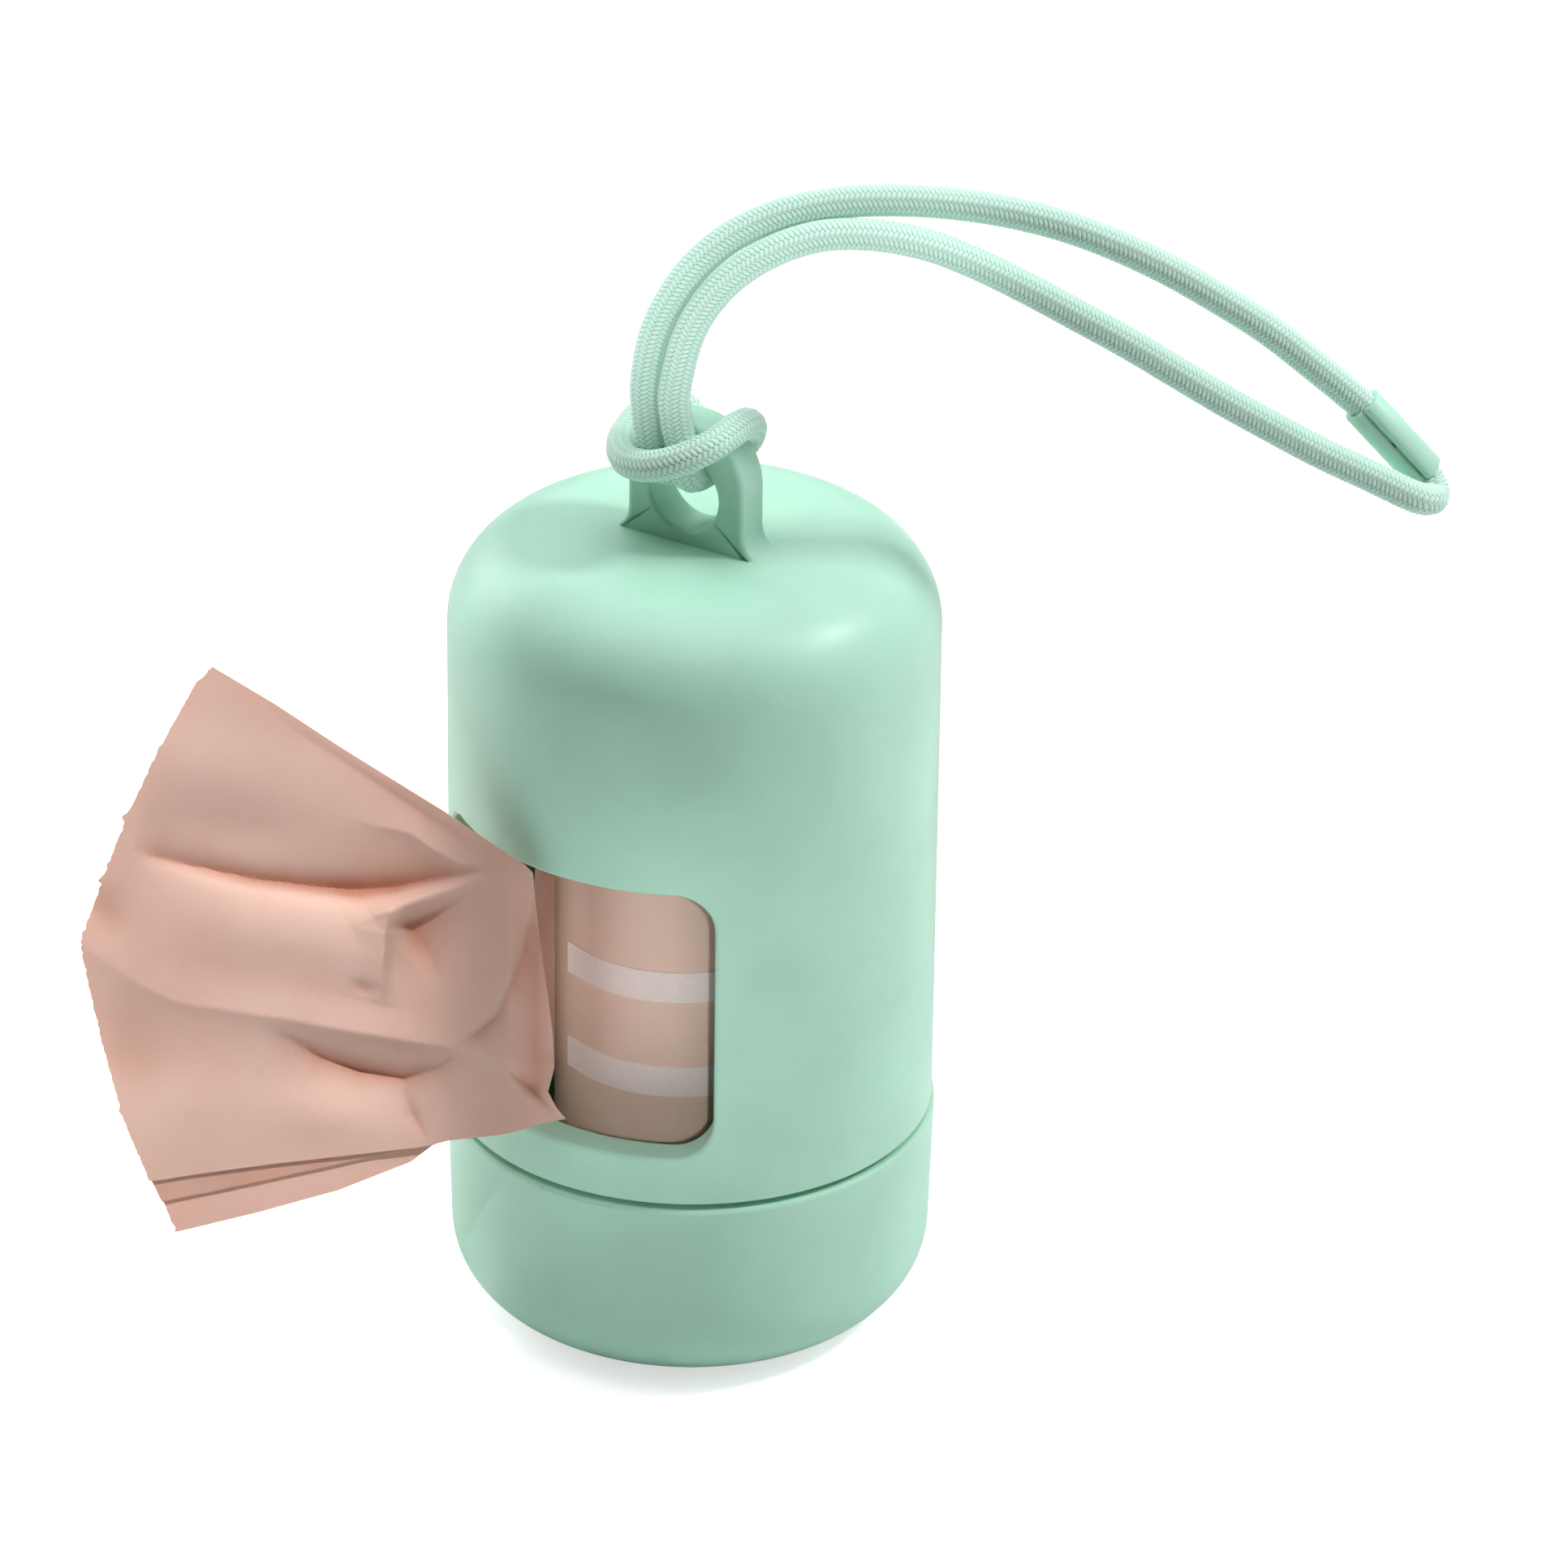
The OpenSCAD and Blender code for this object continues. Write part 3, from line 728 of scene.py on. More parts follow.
def housing_rows():
    """The housing's section from the flat top down its outside and up its inside, and its window rows."""
    outer_low, outer_high = PATCH_OUTER
    inner_low, inner_high = PATCH_INNER
    rows = [(12, TOP_Z), (13, TOP_Z)]
    rows += arc(BODY_R - SHOULDER_R, TOP_Z - SHOULDER_R, SHOULDER_R, 90, 0, 16)
    side_top = TOP_Z - SHOULDER_R
    rows += [(BODY_R, side_top + (outer_high - side_top) * i / 8) for i in range(1, 8)]
    outer_first = len(rows)
    rows += [(BODY_R, outer_high + (outer_low - outer_high) * i / PATCH_ROWS) for i in range(PATCH_ROWS + 1)]
    rows += [(BODY_R, 22)]
    rows += arc(BODY_R - BOTTOM_EDGE_R, SEAM_Z + BOTTOM_EDGE_R, BOTTOM_EDGE_R, 0, -90, 5)
    rows += [(MOUTH_R, SEAM_Z), (MOUTH_R, 22.5), (MOUTH_R, STEP_Z), (BORE_R, STEP_Z)]
    inner_first = len(rows)
    rows += [(BORE_R, inner_low + (inner_high - inner_low) * i / PATCH_ROWS) for i in range(PATCH_ROWS + 1)]
    rows += [(BORE_R, inner_high + (side_top - inner_high) * i / 6) for i in range(1, 6)]
    rows += arc(BODY_R - SHOULDER_R, side_top, INNER_SHOULDER_R, 0, 90, 10)
    rows += [(7, CEILING_Z), (0.8, CEILING_Z)]
    return rows, outer_first, inner_first


def patch_rim(rings, first, low_row_first):
    """The points of the wall round the window's patch: along its low row, up, back along its high row, down."""
    rows = list(range(first, first + PATCH_ROWS + 1))
    if not low_row_first:
        rows.reverse()
    rim = [rings[rows[0]][j] for j in range(PATCH_COLUMNS)]
    rim += [rings[rows[i]][PATCH_COLUMNS] for i in range(PATCH_ROWS)]
    rim += [rings[rows[-1]][j] for j in range(PATCH_COLUMNS, 0, -1)]
    rim += [rings[rows[i]][0] for i in range(PATCH_ROWS, 0, -1)]
    return rim


def add_window(shell, rings, outer_first, inner_first, outer_edge, inner_edge):
    """Fills the space between the two patches with the window's rounded rim."""
    outer_rim = patch_rim(rings, outer_first, False)
    inner_rim = patch_rim(rings, inner_first, True)

    def loop(grow, radius):
        rim = window_outline(grow, radius)
        return shell.ring(ring_points(rim[:, 0] + WINDOW_FACES, radius, rim[:, 1]))

    def half_way(rim, grow, radius, share):
        inside = window_outline(grow, radius)
        there = np.array([shell.points[i] for i in rim])
        theta = np.degrees(np.arctan2(there[:, 1], there[:, 0])) - WINDOW_FACES
        mixed = (1 - share) * np.column_stack([theta, there[:, 2]]) + share * inside
        return shell.ring(ring_points(mixed[:, 0] + WINDOW_FACES, radius, mixed[:, 1]))

    beside = 0.15
    loops = [outer_rim]
    loops += [half_way(outer_rim, outer_edge + beside, BODY_R, share) for share in (0.35, 0.7)]
    loops.append(loop(outer_edge + beside, BODY_R))
    for i in range(7):
        a = math.radians(15 * i)
        loops.append(loop(outer_edge * (1 - math.sin(a)), BODY_R - outer_edge * (1 - math.cos(a))))
    wall_out, wall_in = BODY_R - outer_edge, BORE_R + inner_edge
    loops += [loop(0, wall_out - 0.12), loop(0, (wall_out + wall_in) / 2), loop(0, wall_in + 0.1)]
    for i in range(5):
        a = math.radians(22.5 * i)
        loops.append(loop(inner_edge * (1 - math.cos(a)), BORE_R + inner_edge * (1 - math.sin(a))))
    loops.append(loop(inner_edge + beside, BORE_R))
    loops.append(half_way(inner_rim, inner_edge + beside, BORE_R, 0.5))
    loops.append(inner_rim)
    shell.strip(loops)


def lug_outline():
    """The lug's outline from its sunk lower left corner round to it: x, z and the outward direction."""
    tip = LUG_HALF_W + FLARE_OUT
    low = TOP_Z - LUG_SUNK
    along, over, flare = 24, 44, 10
    outline = [(tip * (2 * i / along - 1), low, 0, -1) for i in range(1, along)]

    def curve(side):
        points = []
        for i in range(flare + 1):
            a = math.pi / 2 * i / flare
            x, z = tip - FLARE_OUT * math.sin(a), TOP_Z - 0.03 + FLARE_UP * (1 - math.cos(a))
            normal = Vector((math.sin(a) / FLARE_OUT, math.cos(a) / FLARE_UP)).normalized()
            points.append((side * x, z, side * normal.x, normal.y))
        return points

    up = [TOP_Z + FLARE_UP + (LUG_ROUND_Z - TOP_Z - FLARE_UP) * i / 8 for i in range(1, 9)]
    outline += [(tip, low, 0.7, -0.7)] + curve(1) + [(LUG_HALF_W, z, 1, 0) for z in up]
    for i in range(1, over):
        a = math.pi * i / over
        x, z = math.cos(a), math.sin(a)
        outline.append((LUG_HALF_W * x, LUG_ROUND_Z + LUG_HALF_W * z, x, z))
    outline += [(-LUG_HALF_W, z, -1, 0) for z in reversed(up)] + curve(-1)[::-1] + [(-tip, low, -0.7, -0.7)]
    return outline


def lug_mesh(edge):
    """The lug: a plate with a round head, an eye, rounded edges and feet that flare sideways."""
    turn = math.radians(LUG_TURN)
    outline = lug_outline()
    shell = Shell()

    def turned(points):
        return [
            (x * math.cos(turn) - y * math.sin(turn), x * math.sin(turn) + y * math.cos(turn), z)
            for x, y, z in points
        ]

    def rim_ring(inset, y):
        return shell.ring(turned([(x - nx * inset, y, z - nz * inset) for x, z, nx, nz in outline]))

    def eye_point(x, z, radius):
        away = Vector((x, z - EYE_Z)).normalized()
        return away.x * radius, EYE_Z + away.y * radius

    def eye_ring(radius, y):
        return shell.ring(turned([(ex, y, ez) for ex, ez in (eye_point(x, z, radius) for x, z, _, _ in outline)]))

    def face_ring(share, y):
        points = []
        for x, z, nx, nz in outline:
            px, pz = x - nx * edge, z - nz * edge
            ex, ez = eye_point(x, z, EYE_R + EYE_EDGE + 0.1)
            points.append((px + (ex - px) * share, y, pz + (ez - pz) * share))
        return shell.ring(turned(points))

    steps = 6
    angles = [math.pi / 2 * i / steps for i in range(steps + 1)]
    rings = []
    for side in (-1, 1):
        rim = [rim_ring(edge * (1 - math.sin(a)), side * (LUG_HALF_T - edge * (1 - math.cos(a)))) for a in angles]
        face = [face_ring(share, side * LUG_HALF_T) for share in (0.06, 0.5, 1)]
        eye = [
            eye_ring(EYE_R + EYE_EDGE * (1 - math.sin(a)), side * (LUG_HALF_T - EYE_EDGE * (1 - math.cos(a))))
            for a in angles
        ]
        half = rim[::-1] + face + eye
        rings = rings + half[::-1] if side > 0 else half
    rings.append(rings[0])
    shell.strip(rings)
    return new_mesh("lug", shell.points, shell.faces)


class BAGS_OT_housing(bpy.types.Operator):
    """Makes the housing with its window and lug"""

    bl_idname = "bags.housing"
    bl_label = "Housing"

    def execute(self, context):
        sizes = context.scene.bags_housing
        shell = Shell()
        patch = np.linspace(-PATCH_HALF, PATCH_HALF, PATCH_COLUMNS + 1)
        rest = np.linspace(PATCH_HALF, 360 - PATCH_HALF, 89)[1:-1]
        theta = np.concatenate([patch, rest]) + WINDOW_FACES
        rows, outer_first, inner_first = housing_rows()
        rings = [shell.ring(ring_points(theta, r, z)) for r, z in rows]
        for k in range(len(rows) - 1):
            in_patch = outer_first <= k < outer_first + PATCH_ROWS or inner_first <= k < inner_first + PATCH_ROWS
            for j in range(len(theta)):
                if not (in_patch and j < PATCH_COLUMNS):
                    n = (j + 1) % len(theta)
                    shell.faces.append((rings[k][j], rings[k][n], rings[k + 1][n], rings[k + 1][j]))
        shell.faces += [tuple(rings[0]), tuple(rings[-1])]
        add_window(
            shell, rings, outer_first, inner_first, sizes.window_outer_edge / MM, sizes.window_inner_edge / MM
        )
        housing = new_mesh("housing_shell", shell.points, shell.faces)
        clean_mesh(housing)
        lug = lug_mesh(sizes.lug_edge / MM)
        clean_mesh(lug)
        apply_modifier(housing, "BOOLEAN", operation="UNION", object=lug, solver="MANIFOLD")
        bpy.data.objects.remove(lug)
        shade(housing, 35)
        plastic = moulded_plastic("mint_plastic", tuple(context.scene.bags_finish.plastic))
        finish_piece(housing, "housing", "housing_plastic", plastic, "housing")
        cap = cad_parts["base_cap"]
        cap.data.materials.clear()
        cap.data.materials.append(plastic)
        return {"FINISHED"}


# ---------------------------------------------------------------- cap thread


class BAGS_OT_thread(bpy.types.Operator):
    """Adds the screw thread round the cap's collar"""

    bl_idname = "bags.thread"
    bl_label = "Thread"

    def execute(self, context):
        collar_r, pitch, turns, start_z = 20.4, 3.0, 0.92, 20.95
        section = [(-0.15, -0.5), (0.35, -0.2), (0.35, 0.2), (-0.15, 0.5)]
        steps = 150
        shell = Shell()
        rings = []
        for i in range(steps + 1):
            t = i / steps
            a = FULL_TURN * turns * t
            # the ridge runs out at both ends
            size = min(1.0, 12 * t + 0.05, 12 * (1 - t) + 0.05)
            z = start_z + pitch * turns * t
            ridge = [(collar_r + (r * size if r > 0 else r), z + h * (0.4 + 0.6 * size)) for r, h in section]
            rings.append(shell.ring([(r * math.cos(a), r * math.sin(a), h) for r, h in ridge]))
        thread = shell.solid("collar_thread", rings)
        finish_piece(thread, "base_cap", "housing_plastic", bpy.data.materials["mint_plastic"])
        return {"FINISHED"}


# ---------------------------------------------------------------- roll

# The roll's axis stands 1 mm off the housing's
ROLL_AT = (-0.7986, -0.6018)
ROLL_LOW = 3.7
ROLL_HIGH = 61.2
ROLL_R = 11.8
ROLL_BORE_R = 7.8
TAPE_W = 3.1
TAPE_LOW_Z = 27.5
TAPE_HIGH_Z = 37.4
TAPE_START = 247
TAPE_ANGLE = 280
# The tape's free end lifts over its first degrees; elsewhere the tape lies on the roll
TAPE_LIFT = 0.15
TAPE_LIFT_ANGLE = 5
TAPE_SUNK = 0.02
TAPE_PROUD = 0.1


def roll_point(angle, radius, z):
    a = math.radians(angle)
    return (ROLL_AT[0] + radius * math.cos(a), ROLL_AT[1] + radius * math.sin(a), z)


class BAGS_OT_roll(bpy.types.Operator):
    """Makes the wound roll and its tapes, and finishes its core"""

    bl_idname = "bags.roll"
    bl_label = "Roll"

    def execute(self, context):
        finish = context.scene.bags_finish
        card = wound_card("core_card", tuple(finish.card), srgb("#A98C64"))
        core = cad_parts["roll_core"]
        core.data.materials.clear()
        core.data.materials.append(card)

        rng = np.random.default_rng(7)
        # the wound ends: each layer of film stands a little higher or lower than the next
        layers = 22
        steps = np.linspace(ROLL_BORE_R, ROLL_R - 0.25, layers)
        low = [(r, ROLL_LOW + abs(rng.normal(0, 0.07)) + 0.02 * (i % 2)) for i, r in enumerate(steps)]
        high = [(r, ROLL_HIGH - abs(rng.normal(0, 0.07)) - 0.02 * (i % 2)) for i, r in enumerate(steps)]
        side = [(ROLL_R, ROLL_LOW + 0.35 + (ROLL_HIGH - ROLL_LOW - 0.7) * i / 40) for i in range(41)]
        profile = low + side + high[::-1]
        around = 180
        shell = Shell()
        rings = []
        for k, (r, z) in enumerate(profile):
            outer = len(low) <= k < len(low) + len(side)
            points = []
            for j in range(around):
                angle = 360 * j / around
                # the film's last turn ends at the back, one film thickness proud
                proud = 0.06 * ((angle - 100) % 360) / 360 if outer else 0
                slack = 0.02 * math.sin(math.radians(3 * angle + 14 * z)) if outer else 0
                points.append(roll_point(angle, r - 0.06 + proud + slack if outer else r, z))
            rings.append(shell.ring(points))
        shell.strip(rings + [rings[0]])
        roll = new_mesh("wound_roll", shell.points, shell.faces)
        clean_mesh(roll)
        shade(roll, 50)
        film = wound_film("wound_film", tuple(finish.film), tuple(finish.film_deep))
        finish_piece(roll, "bag_roll", "bag_film", film, "bag_roll")

        paper = tape_paper("paper_tape", tuple(finish.tape))
        self.tape("tape_high", TAPE_HIGH_Z, paper, "upper_tape")
        self.tape("tape_low", TAPE_LOW_Z, paper, "lower_tape")
        return {"FINISHED"}

    def tape(self, name, z, paper, node):
        """A band of tape whose free end lifts a little."""
        steps, rows = 160, 4
        shell = Shell()
        rings = []
        for i in range(steps + 1):
            t = i / steps
            angle = TAPE_START + TAPE_ANGLE * t
            lift = TAPE_LIFT * max(0.0, 1 - t * TAPE_ANGLE / TAPE_LIFT_ANGLE) ** 2
            inner, outer = ROLL_R + lift - TAPE_SUNK, ROLL_R + TAPE_PROUD + lift
            heights = [z + TAPE_W * (k / rows - 0.5) for k in range(rows + 1)]
            points = [roll_point(angle, outer, h) for h in heights]
            points += [roll_point(angle, inner, h) for h in reversed(heights)]
            rings.append(shell.ring(points))
        band = shell.solid(name, rings)
        finish_piece(band, "bag_roll", "tape_paper", paper, node)


# ---------------------------------------------------------------- ferrule

FERRULE_MIDDLE = (48.95, 39.4, 86.95)
FERRULE_LEAN = -41.7
FERRULE_TURN = 37
FERRULE_LENGTH = 9
FERRULE_R = 1.9
FERRULE_WALL = 0.4
FERRULE_SLOT = 0.14
FERRULE_LIP = 0.5


class BAGS_OT_ferrule(bpy.types.Operator):
    """Makes the crimped strip that joins the cord's two ends"""

    bl_idname = "bags.ferrule"
    bl_label = "Ferrule"

    def execute(self, context):
        lip_r = FERRULE_LIP
        mid_r = FERRULE_R - lip_r
        lip_angle = math.degrees(math.asin((FERRULE_SLOT / 2 + lip_r) / mid_r))
        start, end = -90 + lip_angle, 270 - lip_angle
        outline = arc(0, 0, FERRULE_R, start, end, 60)
        # each edge of the strip is rolled round, inwards
        for angle, step in ((end, 1), (start, -1)):
            at = math.radians(angle)
            cx, cy = mid_r * math.cos(at), mid_r * math.sin(at)
            first = angle if step > 0 else angle + 180
            outline += arc(cx, cy, lip_r, first, first + 180, 12)
            if step > 0:
                outline += arc(0, 0, FERRULE_R - FERRULE_WALL, end, start, 60)
        lean = Matrix.Rotation(math.radians(FERRULE_LEAN), 3, "Y")
        turn = Matrix.Rotation(math.radians(FERRULE_TURN), 3, "Z") @ lean
        middle = Vector(FERRULE_MIDDLE)
        shell = Shell()
        rings = []
        half = FERRULE_LENGTH / 2
        end_edge = ((0, 0.12), (0.05, 0.04), (0.12, 0))
        sections = [(gap - half, inset) for gap, inset in end_edge] + [(0, 0)]
        sections += [(half - gap, inset) for gap, inset in reversed(end_edge)]
        for z, inset in sections:
            share = 1 - inset / FERRULE_R
            rings.append(shell.ring([tuple(middle + turn @ Vector((x * share, y * share, z))) for x, y in outline]))
        ferrule = shell.solid("crimped_ferrule", rings)
        coat = moulded_plastic("ferrule_coat", tuple(context.scene.bags_finish.plastic))
        finish_piece(ferrule, "housing", "ferrule_coat", coat, "cord_ferrule")
        return {"FINISHED"}


# ---------------------------------------------------------------- pulled bag

# Places on the film are (right, height) in millimetres in the view of the camera
TOP_EDGE = [(-14.3, 53.2), (-15.2, 54.2), (-16.6, 55.1), (-18.6, 56.3), (-20.9, 57.6), (-22.3, 58.5),
    (-26.8, 60.9), (-31.8, 63.6), (-37.5, 66.9), (-43.2, 69.8)]
FREE_EDGE = [(-50.1, 15.1), (-52.4, 21.1), (-54.1, 28.1), (-55.3, 34.8), (-56, 39.5), (-53.6, 46.9),
    (-51.1, 53.9), (-48, 61), (-45, 67.3), (-43.2, 69.8)]
LOWER_EDGE = [(-11.4, 27.8), (-13.8, 27.2), (-17.9, 25.7), (-21.9, 24.5), (-24.3, 23.4), (-29.8, 21.7),
    (-38.3, 19.1), (-44.7, 17), (-50.1, 15.1)]
FOLD_EDGE = [(-11.4, 27.8), (-12.2, 28.9), (-13, 30.6), (-12.4, 33.2), (-12.6, 36.7), (-13, 40.5), (-13.5, 44.3),
    (-13.9, 48), (-14.2, 51.3), (-14.3, 53.2)]
# The two layers behind show below the front one: their lower corners stand lower
MIDDLE_LOWER = [(-17.5, 26.4), (-22, 24.4), (-26.7, 22.5), (-32.4, 20), (-40, 16.8), (-49, 13.1)]
MIDDLE_FREE = [(-49, 13.1), (-49.9, 15.2), (-52.1, 21.1), (-53.6, 28.1), (-54.8, 34.8), (-55.5, 39.5),
    (-53.1, 46.9), (-50.6, 53.9), (-47.5, 61), (-44.9, 66.5), (-43.4, 69)]
BACK_LOWER = [(-17.5, 26.8), (-20.5, 25.6), (-23.6, 23.8), (-25.6, 21.7), (-32.4, 17.4), (-40, 13.6), (-47.8, 10)]
BACK_FREE = [(-47.8, 10), (-48.9, 13.3), (-51.6, 21.1), (-53.1, 28.1), (-54.3, 34.8), (-55, 39.5),
    (-52.6, 46.9), (-50.1, 53.9), (-47, 61), (-44.6, 66), (-43.6, 68.4)]
HIDDEN_TOP = [(-18.2, 54.4), (-20.9, 56.6), (-26.7, 60.6), (-31.8, 63), (-36.9, 65.3), (-40.2, 67.4), (-43.5, 68.8)]
HIDDEN_FOLD = [(-17.5, 26.6), (-17.2, 38.4), (-17.3, 48.8), (-18.2, 54.4)]
# Each fold is a line of (right, height, how far it stands out), and how wide it fades to its
# left and to its right, seen along the line
FOLDS = [
    # the long valley under the upper field
    ([(-50.8, 49.8, 0), (-48.7, 49.5, -1), (-44.1, 49, -1.8), (-39.9, 48.7, -2.2), (-35.3, 48.8, -2.5),
        (-31.1, 49, -3.1), (-26.9, 49.9, -3.1), (-24, 51.1, -2.4), (-21.1, 52.2, -1.5), (-18.7, 53.2, -0.7),
        (-15.4, 54.1, -0.1)], 3.6, 1.1),
    # the wedge beside the top edge
    ([(-31.8, 56.6, 0), (-29.4, 56.1, 0.3), (-25.4, 55.8, 0.8), (-23.2, 54.4, 1.1), (-21.1, 53.5, 0.9),
        (-18.7, 53.6, 0.5), (-15.4, 54.1, 0.1)], 2, 1),
    # the crest over the pocket, and the pocket's left side
    ([(-31, 45.4, 0), (-28.8, 46.6, 0.9), (-27.6, 47.4, 2.3), (-25.3, 48.8, 2.3), (-23.2, 49.9, 2),
        (-21.1, 50.9, 1.5), (-18.7, 52.3, 0.8), (-15.2, 54.1, 0.1)], 1.4, 2.4),
    ([(-27.5, 48.4, 0), (-27.6, 46.8, 1.4), (-27.7, 45.1, 2.3), (-27.9, 42.3, 2.1), (-28, 39.8, 1.3),
        (-28.2, 37.6, 0)], 1, 2.8),
    ([(-27, 45.4, 0), (-25.6, 46.3, -1.7), (-23.4, 47.9, -1.7), (-21.2, 49.5, -1.1),
        (-18.8, 51.4, -0.3)], 0.8, 3.2),
    # the long lower crest, and the pocket under it
    ([(-55.7, 39, 0.3), (-51.5, 36.4, 0.6), (-47.3, 34.6, 0.8), (-42.2, 34.6, 1), (-37.2, 34.6, 1.2),
        (-31.7, 34.4, 1.6), (-26.3, 34.3, 1.7), (-21.2, 34.2, 1.2), (-16.7, 34, 0.7), (-12.7, 33.4, 0.1)], 6, 1.6),
    ([(-38.6, 33.4, 0), (-36, 32.2, -1), (-33.9, 31.2, -1.8), (-30.5, 30.5, -2.4), (-26.3, 30.4, -2.1),
        (-23.8, 31.5, -1.2), (-21.7, 32.9, -0.3)], 1.2, 3.4),
    # the edge of the outer layer beside the wall
    ([(-14.6, 48, -0.3), (-15, 45.2, -0.8), (-16.2, 41.7, -1.1), (-17.5, 38.4, -1.1), (-19.4, 36.2, -0.9),
        (-21.2, 34.2, -0.3)], 2.6, 0.2),
    # the flap at the lower lip
    ([(-16.8, 33, -0.2), (-14.6, 30.8, -1), (-12.9, 28.9, -0.8), (-12.1, 27.9, -0.2)], 1.4, 0.2),
    # a small crease, and the band along the top edge
    ([(-26.3, 29.2, 0), (-25.3, 26.5, -0.7), (-24.2, 24.3, -0.2)], 0.6, 0.8),
    ([(-38.7, 66.6, 0), (-35.1, 64.2, -0.3), (-31.8, 62.4, -0.4), (-26.9, 59.5, -0.5), (-21.9, 56.8, -0.5),
        (-18.6, 55.1, -0.1)], 0.7, 2),
]
# Soft swellings and hollows: right, height, half width, half height, how far it stands out
SWELLS = [
    (-24.6, 44.6, 3.2, 3.4, -0.9), (-29.6, 39.2, 1.1, 0.9, -0.5),
    (-38, 43.4, 9, 3.4, 0.9), (-44.7, 59.2, 6, 5, 0.8), (-40.6, 53.8, 6, 3, -0.6), (-51.5, 28.5, 4.5, 6, -1.1),
    (-53.5, 43.2, 2.5, 3, -0.7), (-45.4, 23.4, 5, 4, 0.5), (-33.9, 25, 6, 3, 0.7), (-20.2, 41.8, 2.4, 4, 0.8),
]
LAYER_GAP = 0.4
FILM_THICKNESS = 0.06
# How near the camera the film lies before it is creased: it comes nearer toward the window
FILM_FREE_RIGHT = -53
FILM_FREE_NEAR = 8.6
FILM_WALL_NEAR = 19.2
FILM_SLOPE = 0.289
FOLD_STEPS = 90
FOLD_ROUNDING = 0.12
# Beside the wall the creases die out, and between the window's lips the film turns in
CREASES_END = -12.2
TURN_IN_FROM = -16.4
TURN_IN_REACH = 2.3
TURN_IN_SLOPE = 0.8
TURN_IN_LOW = 30
TURN_IN_HIGH = 51.5
# The painted shade in a fold: over how many places of the grid its depth is taken, and how softly
DEPTH_REACH = 20
DEPTH_SOFTNESS = 9.0
# The neck, from the fold beside the wall back to the roll: right, near, low and high
NECK = [(-14.2, 17.1, 27.6, 51.4), (-14.3, 15.4, 27.2, 51.8), (-13.7, 11.5, 27, 51.8), (-12.6, 7.5, 27.4, 51.6)]


def spaced(points, count):
    """Points at an even spacing along a line."""
    line = np.array(points, float)
    run = np.concatenate([[0], np.cumsum(np.linalg.norm(np.diff(line[:, :2], axis=0), axis=1))])
    even = np.linspace(0, run[-1], count)
    return np.column_stack([np.interp(even, run, line[:, k]) for k in range(line.shape[1])])


def patch(inner, outer, low, high, columns, rows):
    """A grid between four edges: it runs from inner to outer in columns and from low to high in rows."""
    a = np.linspace(0, 1, columns)[:, None, None]
    b = np.linspace(0, 1, rows)[None, :, None]
    inner, outer = spaced(inner, rows)[None], spaced(outer, rows)[None]
    low, high = spaced(low, columns)[:, None], spaced(high, columns)[:, None]
    corners = (
        (1 - a) * (1 - b) * low[0] + a * (1 - b) * low[-1] + (1 - a) * b * high[0] + a * b * high[-1]
    )
    return (1 - a) * inner + a * outer + (1 - b) * low + b * high - corners


def film_relief(right, height):
    """How far the film stands out toward the camera at each place."""
    out = np.zeros_like(right)
    for points, left_fade, right_fade in FOLDS:
        line = spaced(points, FOLD_STEPS)
        along = np.gradient(line[:, :2], axis=0)
        across = right[..., None] - line[:, 0], height[..., None] - line[:, 1]
        gaps = across[0] ** 2 + across[1] ** 2
        near = np.argmin(gaps, axis=-1)
        gap = np.sqrt(np.take_along_axis(gaps, near[..., None], -1)[..., 0])
        to_right, to_up = (np.take_along_axis(part, near[..., None], -1)[..., 0] for part in across)
        on_left = along[near, 0] * to_up - along[near, 1] * to_right > 0
        rounded = np.sqrt(gap**2 + FOLD_ROUNDING**2) - FOLD_ROUNDING
        out += line[near, 2] * np.exp(-rounded / np.where(on_left, left_fade, right_fade))
    for u, z, wide, tall, amount in SWELLS:
        out += amount * np.exp(-(((right - u) / wide) ** 2) - ((height - z) / tall) ** 2)
    out *= np.clip((CREASES_END - right) / 2, 0.1, 1)
    inside = np.clip((height - TURN_IN_LOW) / 4, 0, 1) * np.clip((TURN_IN_HIGH - height) / 4, 0, 1)
    return out - TURN_IN_SLOPE * inside * np.clip(right - TURN_IN_FROM, 0, TURN_IN_REACH)


def torn_edge(grid, seed):
    """The perforated edge: a nub is left where each bridge of film was torn."""
    rng = np.random.default_rng(seed)
    edge = grid[-1]
    run = np.concatenate([[0], np.cumsum(np.linalg.norm(np.diff(edge, axis=0), axis=1))])
    jag = 0.05 * rng.normal(size=len(run))
    for place in np.cumsum(rng.uniform(4, 12, 8)):
        jag += rng.uniform(0.12, 0.4) * np.exp(-(((run - place) / rng.uniform(0.2, 0.5)) ** 2))
    grid[-1, :, 0] -= jag
    grid[-2, :, 0] -= 0.3 * jag
    return grid


def fold_shade_mask(relief):
    """How deep each place lies in a fold, from 0 to 1, for the painted shade there: it stands in for light that has
    passed the film more than once.
    """
    kernel = np.exp(-((np.arange(-DEPTH_REACH, DEPTH_REACH + 1) / DEPTH_SOFTNESS) ** 2) / 2)
    kernel /= kernel.sum()
    soft = relief
    for axis in (0, 1):
        pads = [(DEPTH_REACH, DEPTH_REACH) if axis == k else (0, 0) for k in (0, 1)]
        soft = np.apply_along_axis(np.convolve, axis, np.pad(soft, pads, mode="edge"), kernel, "valid")
    return np.clip(soft - relief, 0, 1)


def film_points(grid, behind):
    """The places of a layer of the film, a distance behind the front layer."""
    right, height = grid[..., 0], grid[..., 1]
    near = np.minimum(FILM_FREE_NEAR + (right - FILM_FREE_RIGHT) * FILM_SLOPE, FILM_WALL_NEAR)
    out = film_relief(right, height) - behind
    return view_point(right, near, height) + out[..., None] * TOWARD_CAMERA


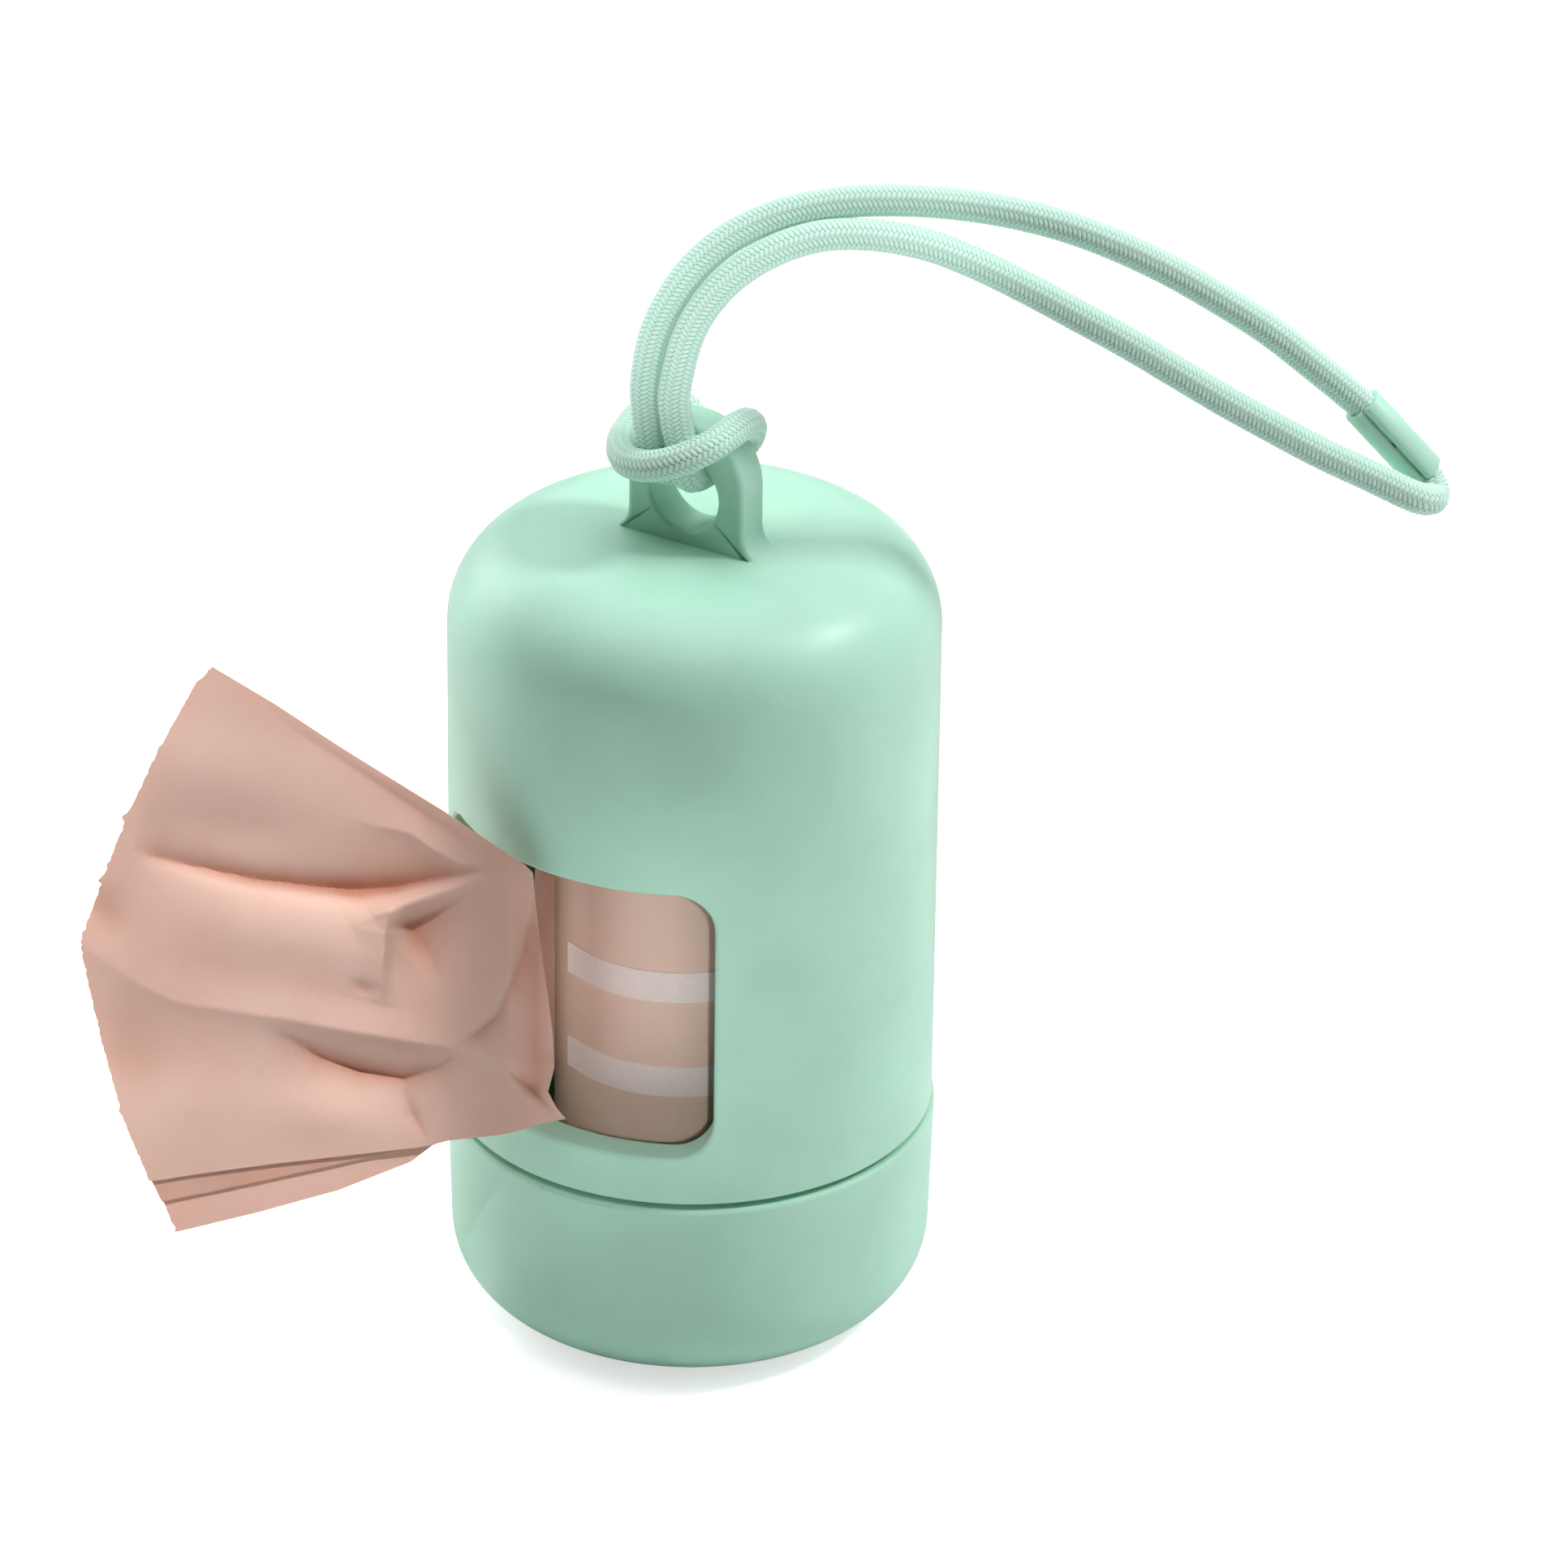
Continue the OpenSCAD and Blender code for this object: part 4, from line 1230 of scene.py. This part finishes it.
def film_sheet(name, points, material, depth=None):
    """A sheet of film through a grid of points, with its thickness."""
    columns, rows = points.shape[:2]
    faces = [
        (i * rows + j, i * rows + j + 1, (i + 1) * rows + j + 1, (i + 1) * rows + j)
        for i in range(columns - 1)
        for j in range(rows - 1)
    ]
    film = new_mesh(name, points.reshape(-1, 3), faces)
    # the painted shade of the folds goes on as a point attribute
    if depth is not None:
        film.data.attributes.new("fold", "FLOAT", "POINT").data.foreach_set("value", depth.ravel())
    apply_modifier(film, "SOLIDIFY", thickness=FILM_THICKNESS * MM, offset=0)
    clean_mesh(film, 0.0005)
    shade(film, 50)
    return finish_piece(film, None, "bag_film", material)


class BAGS_OT_pulled_bag(bpy.types.Operator):
    """Makes the first bag, pulled out and creased at the window"""

    bl_idname = "bags.pulled_bag"
    bl_label = "Pulled bag"

    def execute(self, context):
        finish = context.scene.bags_finish
        tones = tuple(finish.film_deep), tuple(finish.film_through), tuple(finish.film_fold_shade)
        material = bag_film("pulled_film", tuple(finish.film), *tones)
        # painted shade: the middle layer gets a darker copy of the film, so that it stands apart from the layers in
        # front of and behind it
        shaded_copy_tint = [0.65 * a + 0.35 * b for a, b in zip(finish.film_deep, finish.film_fold_shade)]
        shaded_film = bag_film("pulled_film_shaded", tuple(shaded_copy_tint), *tones)
        layers = (
            ("bag_front", (FOLD_EDGE, FREE_EDGE, LOWER_EDGE, TOP_EDGE), (210, 200), (0.0575, 0.042)),
            ("bag_middle", (HIDDEN_FOLD, MIDDLE_FREE, MIDDLE_LOWER, HIDDEN_TOP), (110, 110), (0.0575, 0.037)),
            ("bag_back", (HIDDEN_FOLD, BACK_FREE, BACK_LOWER, HIDDEN_TOP), (110, 110), (0.0585, 0.037)),
        )
        for k, (name, edges, counts, flat) in enumerate(layers):
            grid = torn_edge(patch(*edges, *counts), 11 + k)
            # only the front layer carries the painted shade of its folds
            depth = fold_shade_mask(film_relief(grid[..., 0], grid[..., 1])) if k == 0 else None
            layer = film_sheet(name, film_points(grid, k * LAYER_GAP), shaded_film if k == 1 else material, depth)
            if k == 0:
                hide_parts("pulled_bag")
            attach(layer, "first_bag")
        self.neck(material)
        return {"FINISHED"}

    def neck(self, material):
        """The film between the roll and the window."""
        line = spaced(NECK, 40)
        up = np.linspace(0, 1, 60)[None, :]
        height = line[:, 2:3] * (1 - up) + line[:, 3:4] * up
        share = np.linspace(0, 1, 40)[:, None]
        wave = 0.3 * np.sin(2.1 * up * math.pi + 1.2) * np.sin(share * math.pi)
        points = view_point(line[:, 0:1] + wave, line[:, 1:2] + 0 * up, height)
        neck = film_sheet("bag_neck", points, material)
        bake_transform(neck)


# ---------------------------------------------------------------- panel, registration and run


class BAGS_PT_panel(bpy.types.Panel):
    """Lists the pieces"""

    bl_idname = "BAGS_PT_panel"
    bl_label = "Bag dispenser"
    bl_space_type = "VIEW_3D"
    bl_region_type = "UI"
    bl_category = "Bag dispenser"

    def draw(self, context):
        for operator in OPERATORS:
            self.layout.operator(operator.bl_idname)
        for name in FINISHES:
            self.layout.prop(context.scene.bags_finish, name)


FINISHES = (
    "plastic", "film", "film_deep", "film_through", "film_fold_shade", "tape", "card", "cord", "cord_painted_shade", "cord_painted_highlight",
)
OPERATORS = (
    BAGS_OT_stage,
    BAGS_OT_wrist_cord,
    BAGS_OT_housing,
    BAGS_OT_thread,
    BAGS_OT_roll,
    BAGS_OT_ferrule,
    BAGS_OT_pulled_bag,
)
CLASSES = (FinishSettings, HousingSettings, CordSettings, *OPERATORS, BAGS_PT_panel)


def register():
    for cls in CLASSES:
        bpy.utils.register_class(cls)
    bpy.types.Scene.bags_finish = bpy.props.PointerProperty(type=FinishSettings)
    bpy.types.Scene.bags_housing = bpy.props.PointerProperty(type=HousingSettings)
    bpy.types.Scene.bags_cord = bpy.props.PointerProperty(type=CordSettings)


def unregister():
    del bpy.types.Scene.bags_finish
    del bpy.types.Scene.bags_housing
    del bpy.types.Scene.bags_cord
    for cls in reversed(CLASSES):
        bpy.utils.unregister_class(cls)


def main():
    register()
    bpy.ops.bags.stage()
    bpy.ops.bags.wrist_cord()
    bpy.ops.bags.housing()
    bpy.ops.bags.thread()
    bpy.ops.bags.roll()
    bpy.ops.bags.ferrule()
    bpy.ops.bags.pulled_bag()


if __name__ == "__main__":
    main()
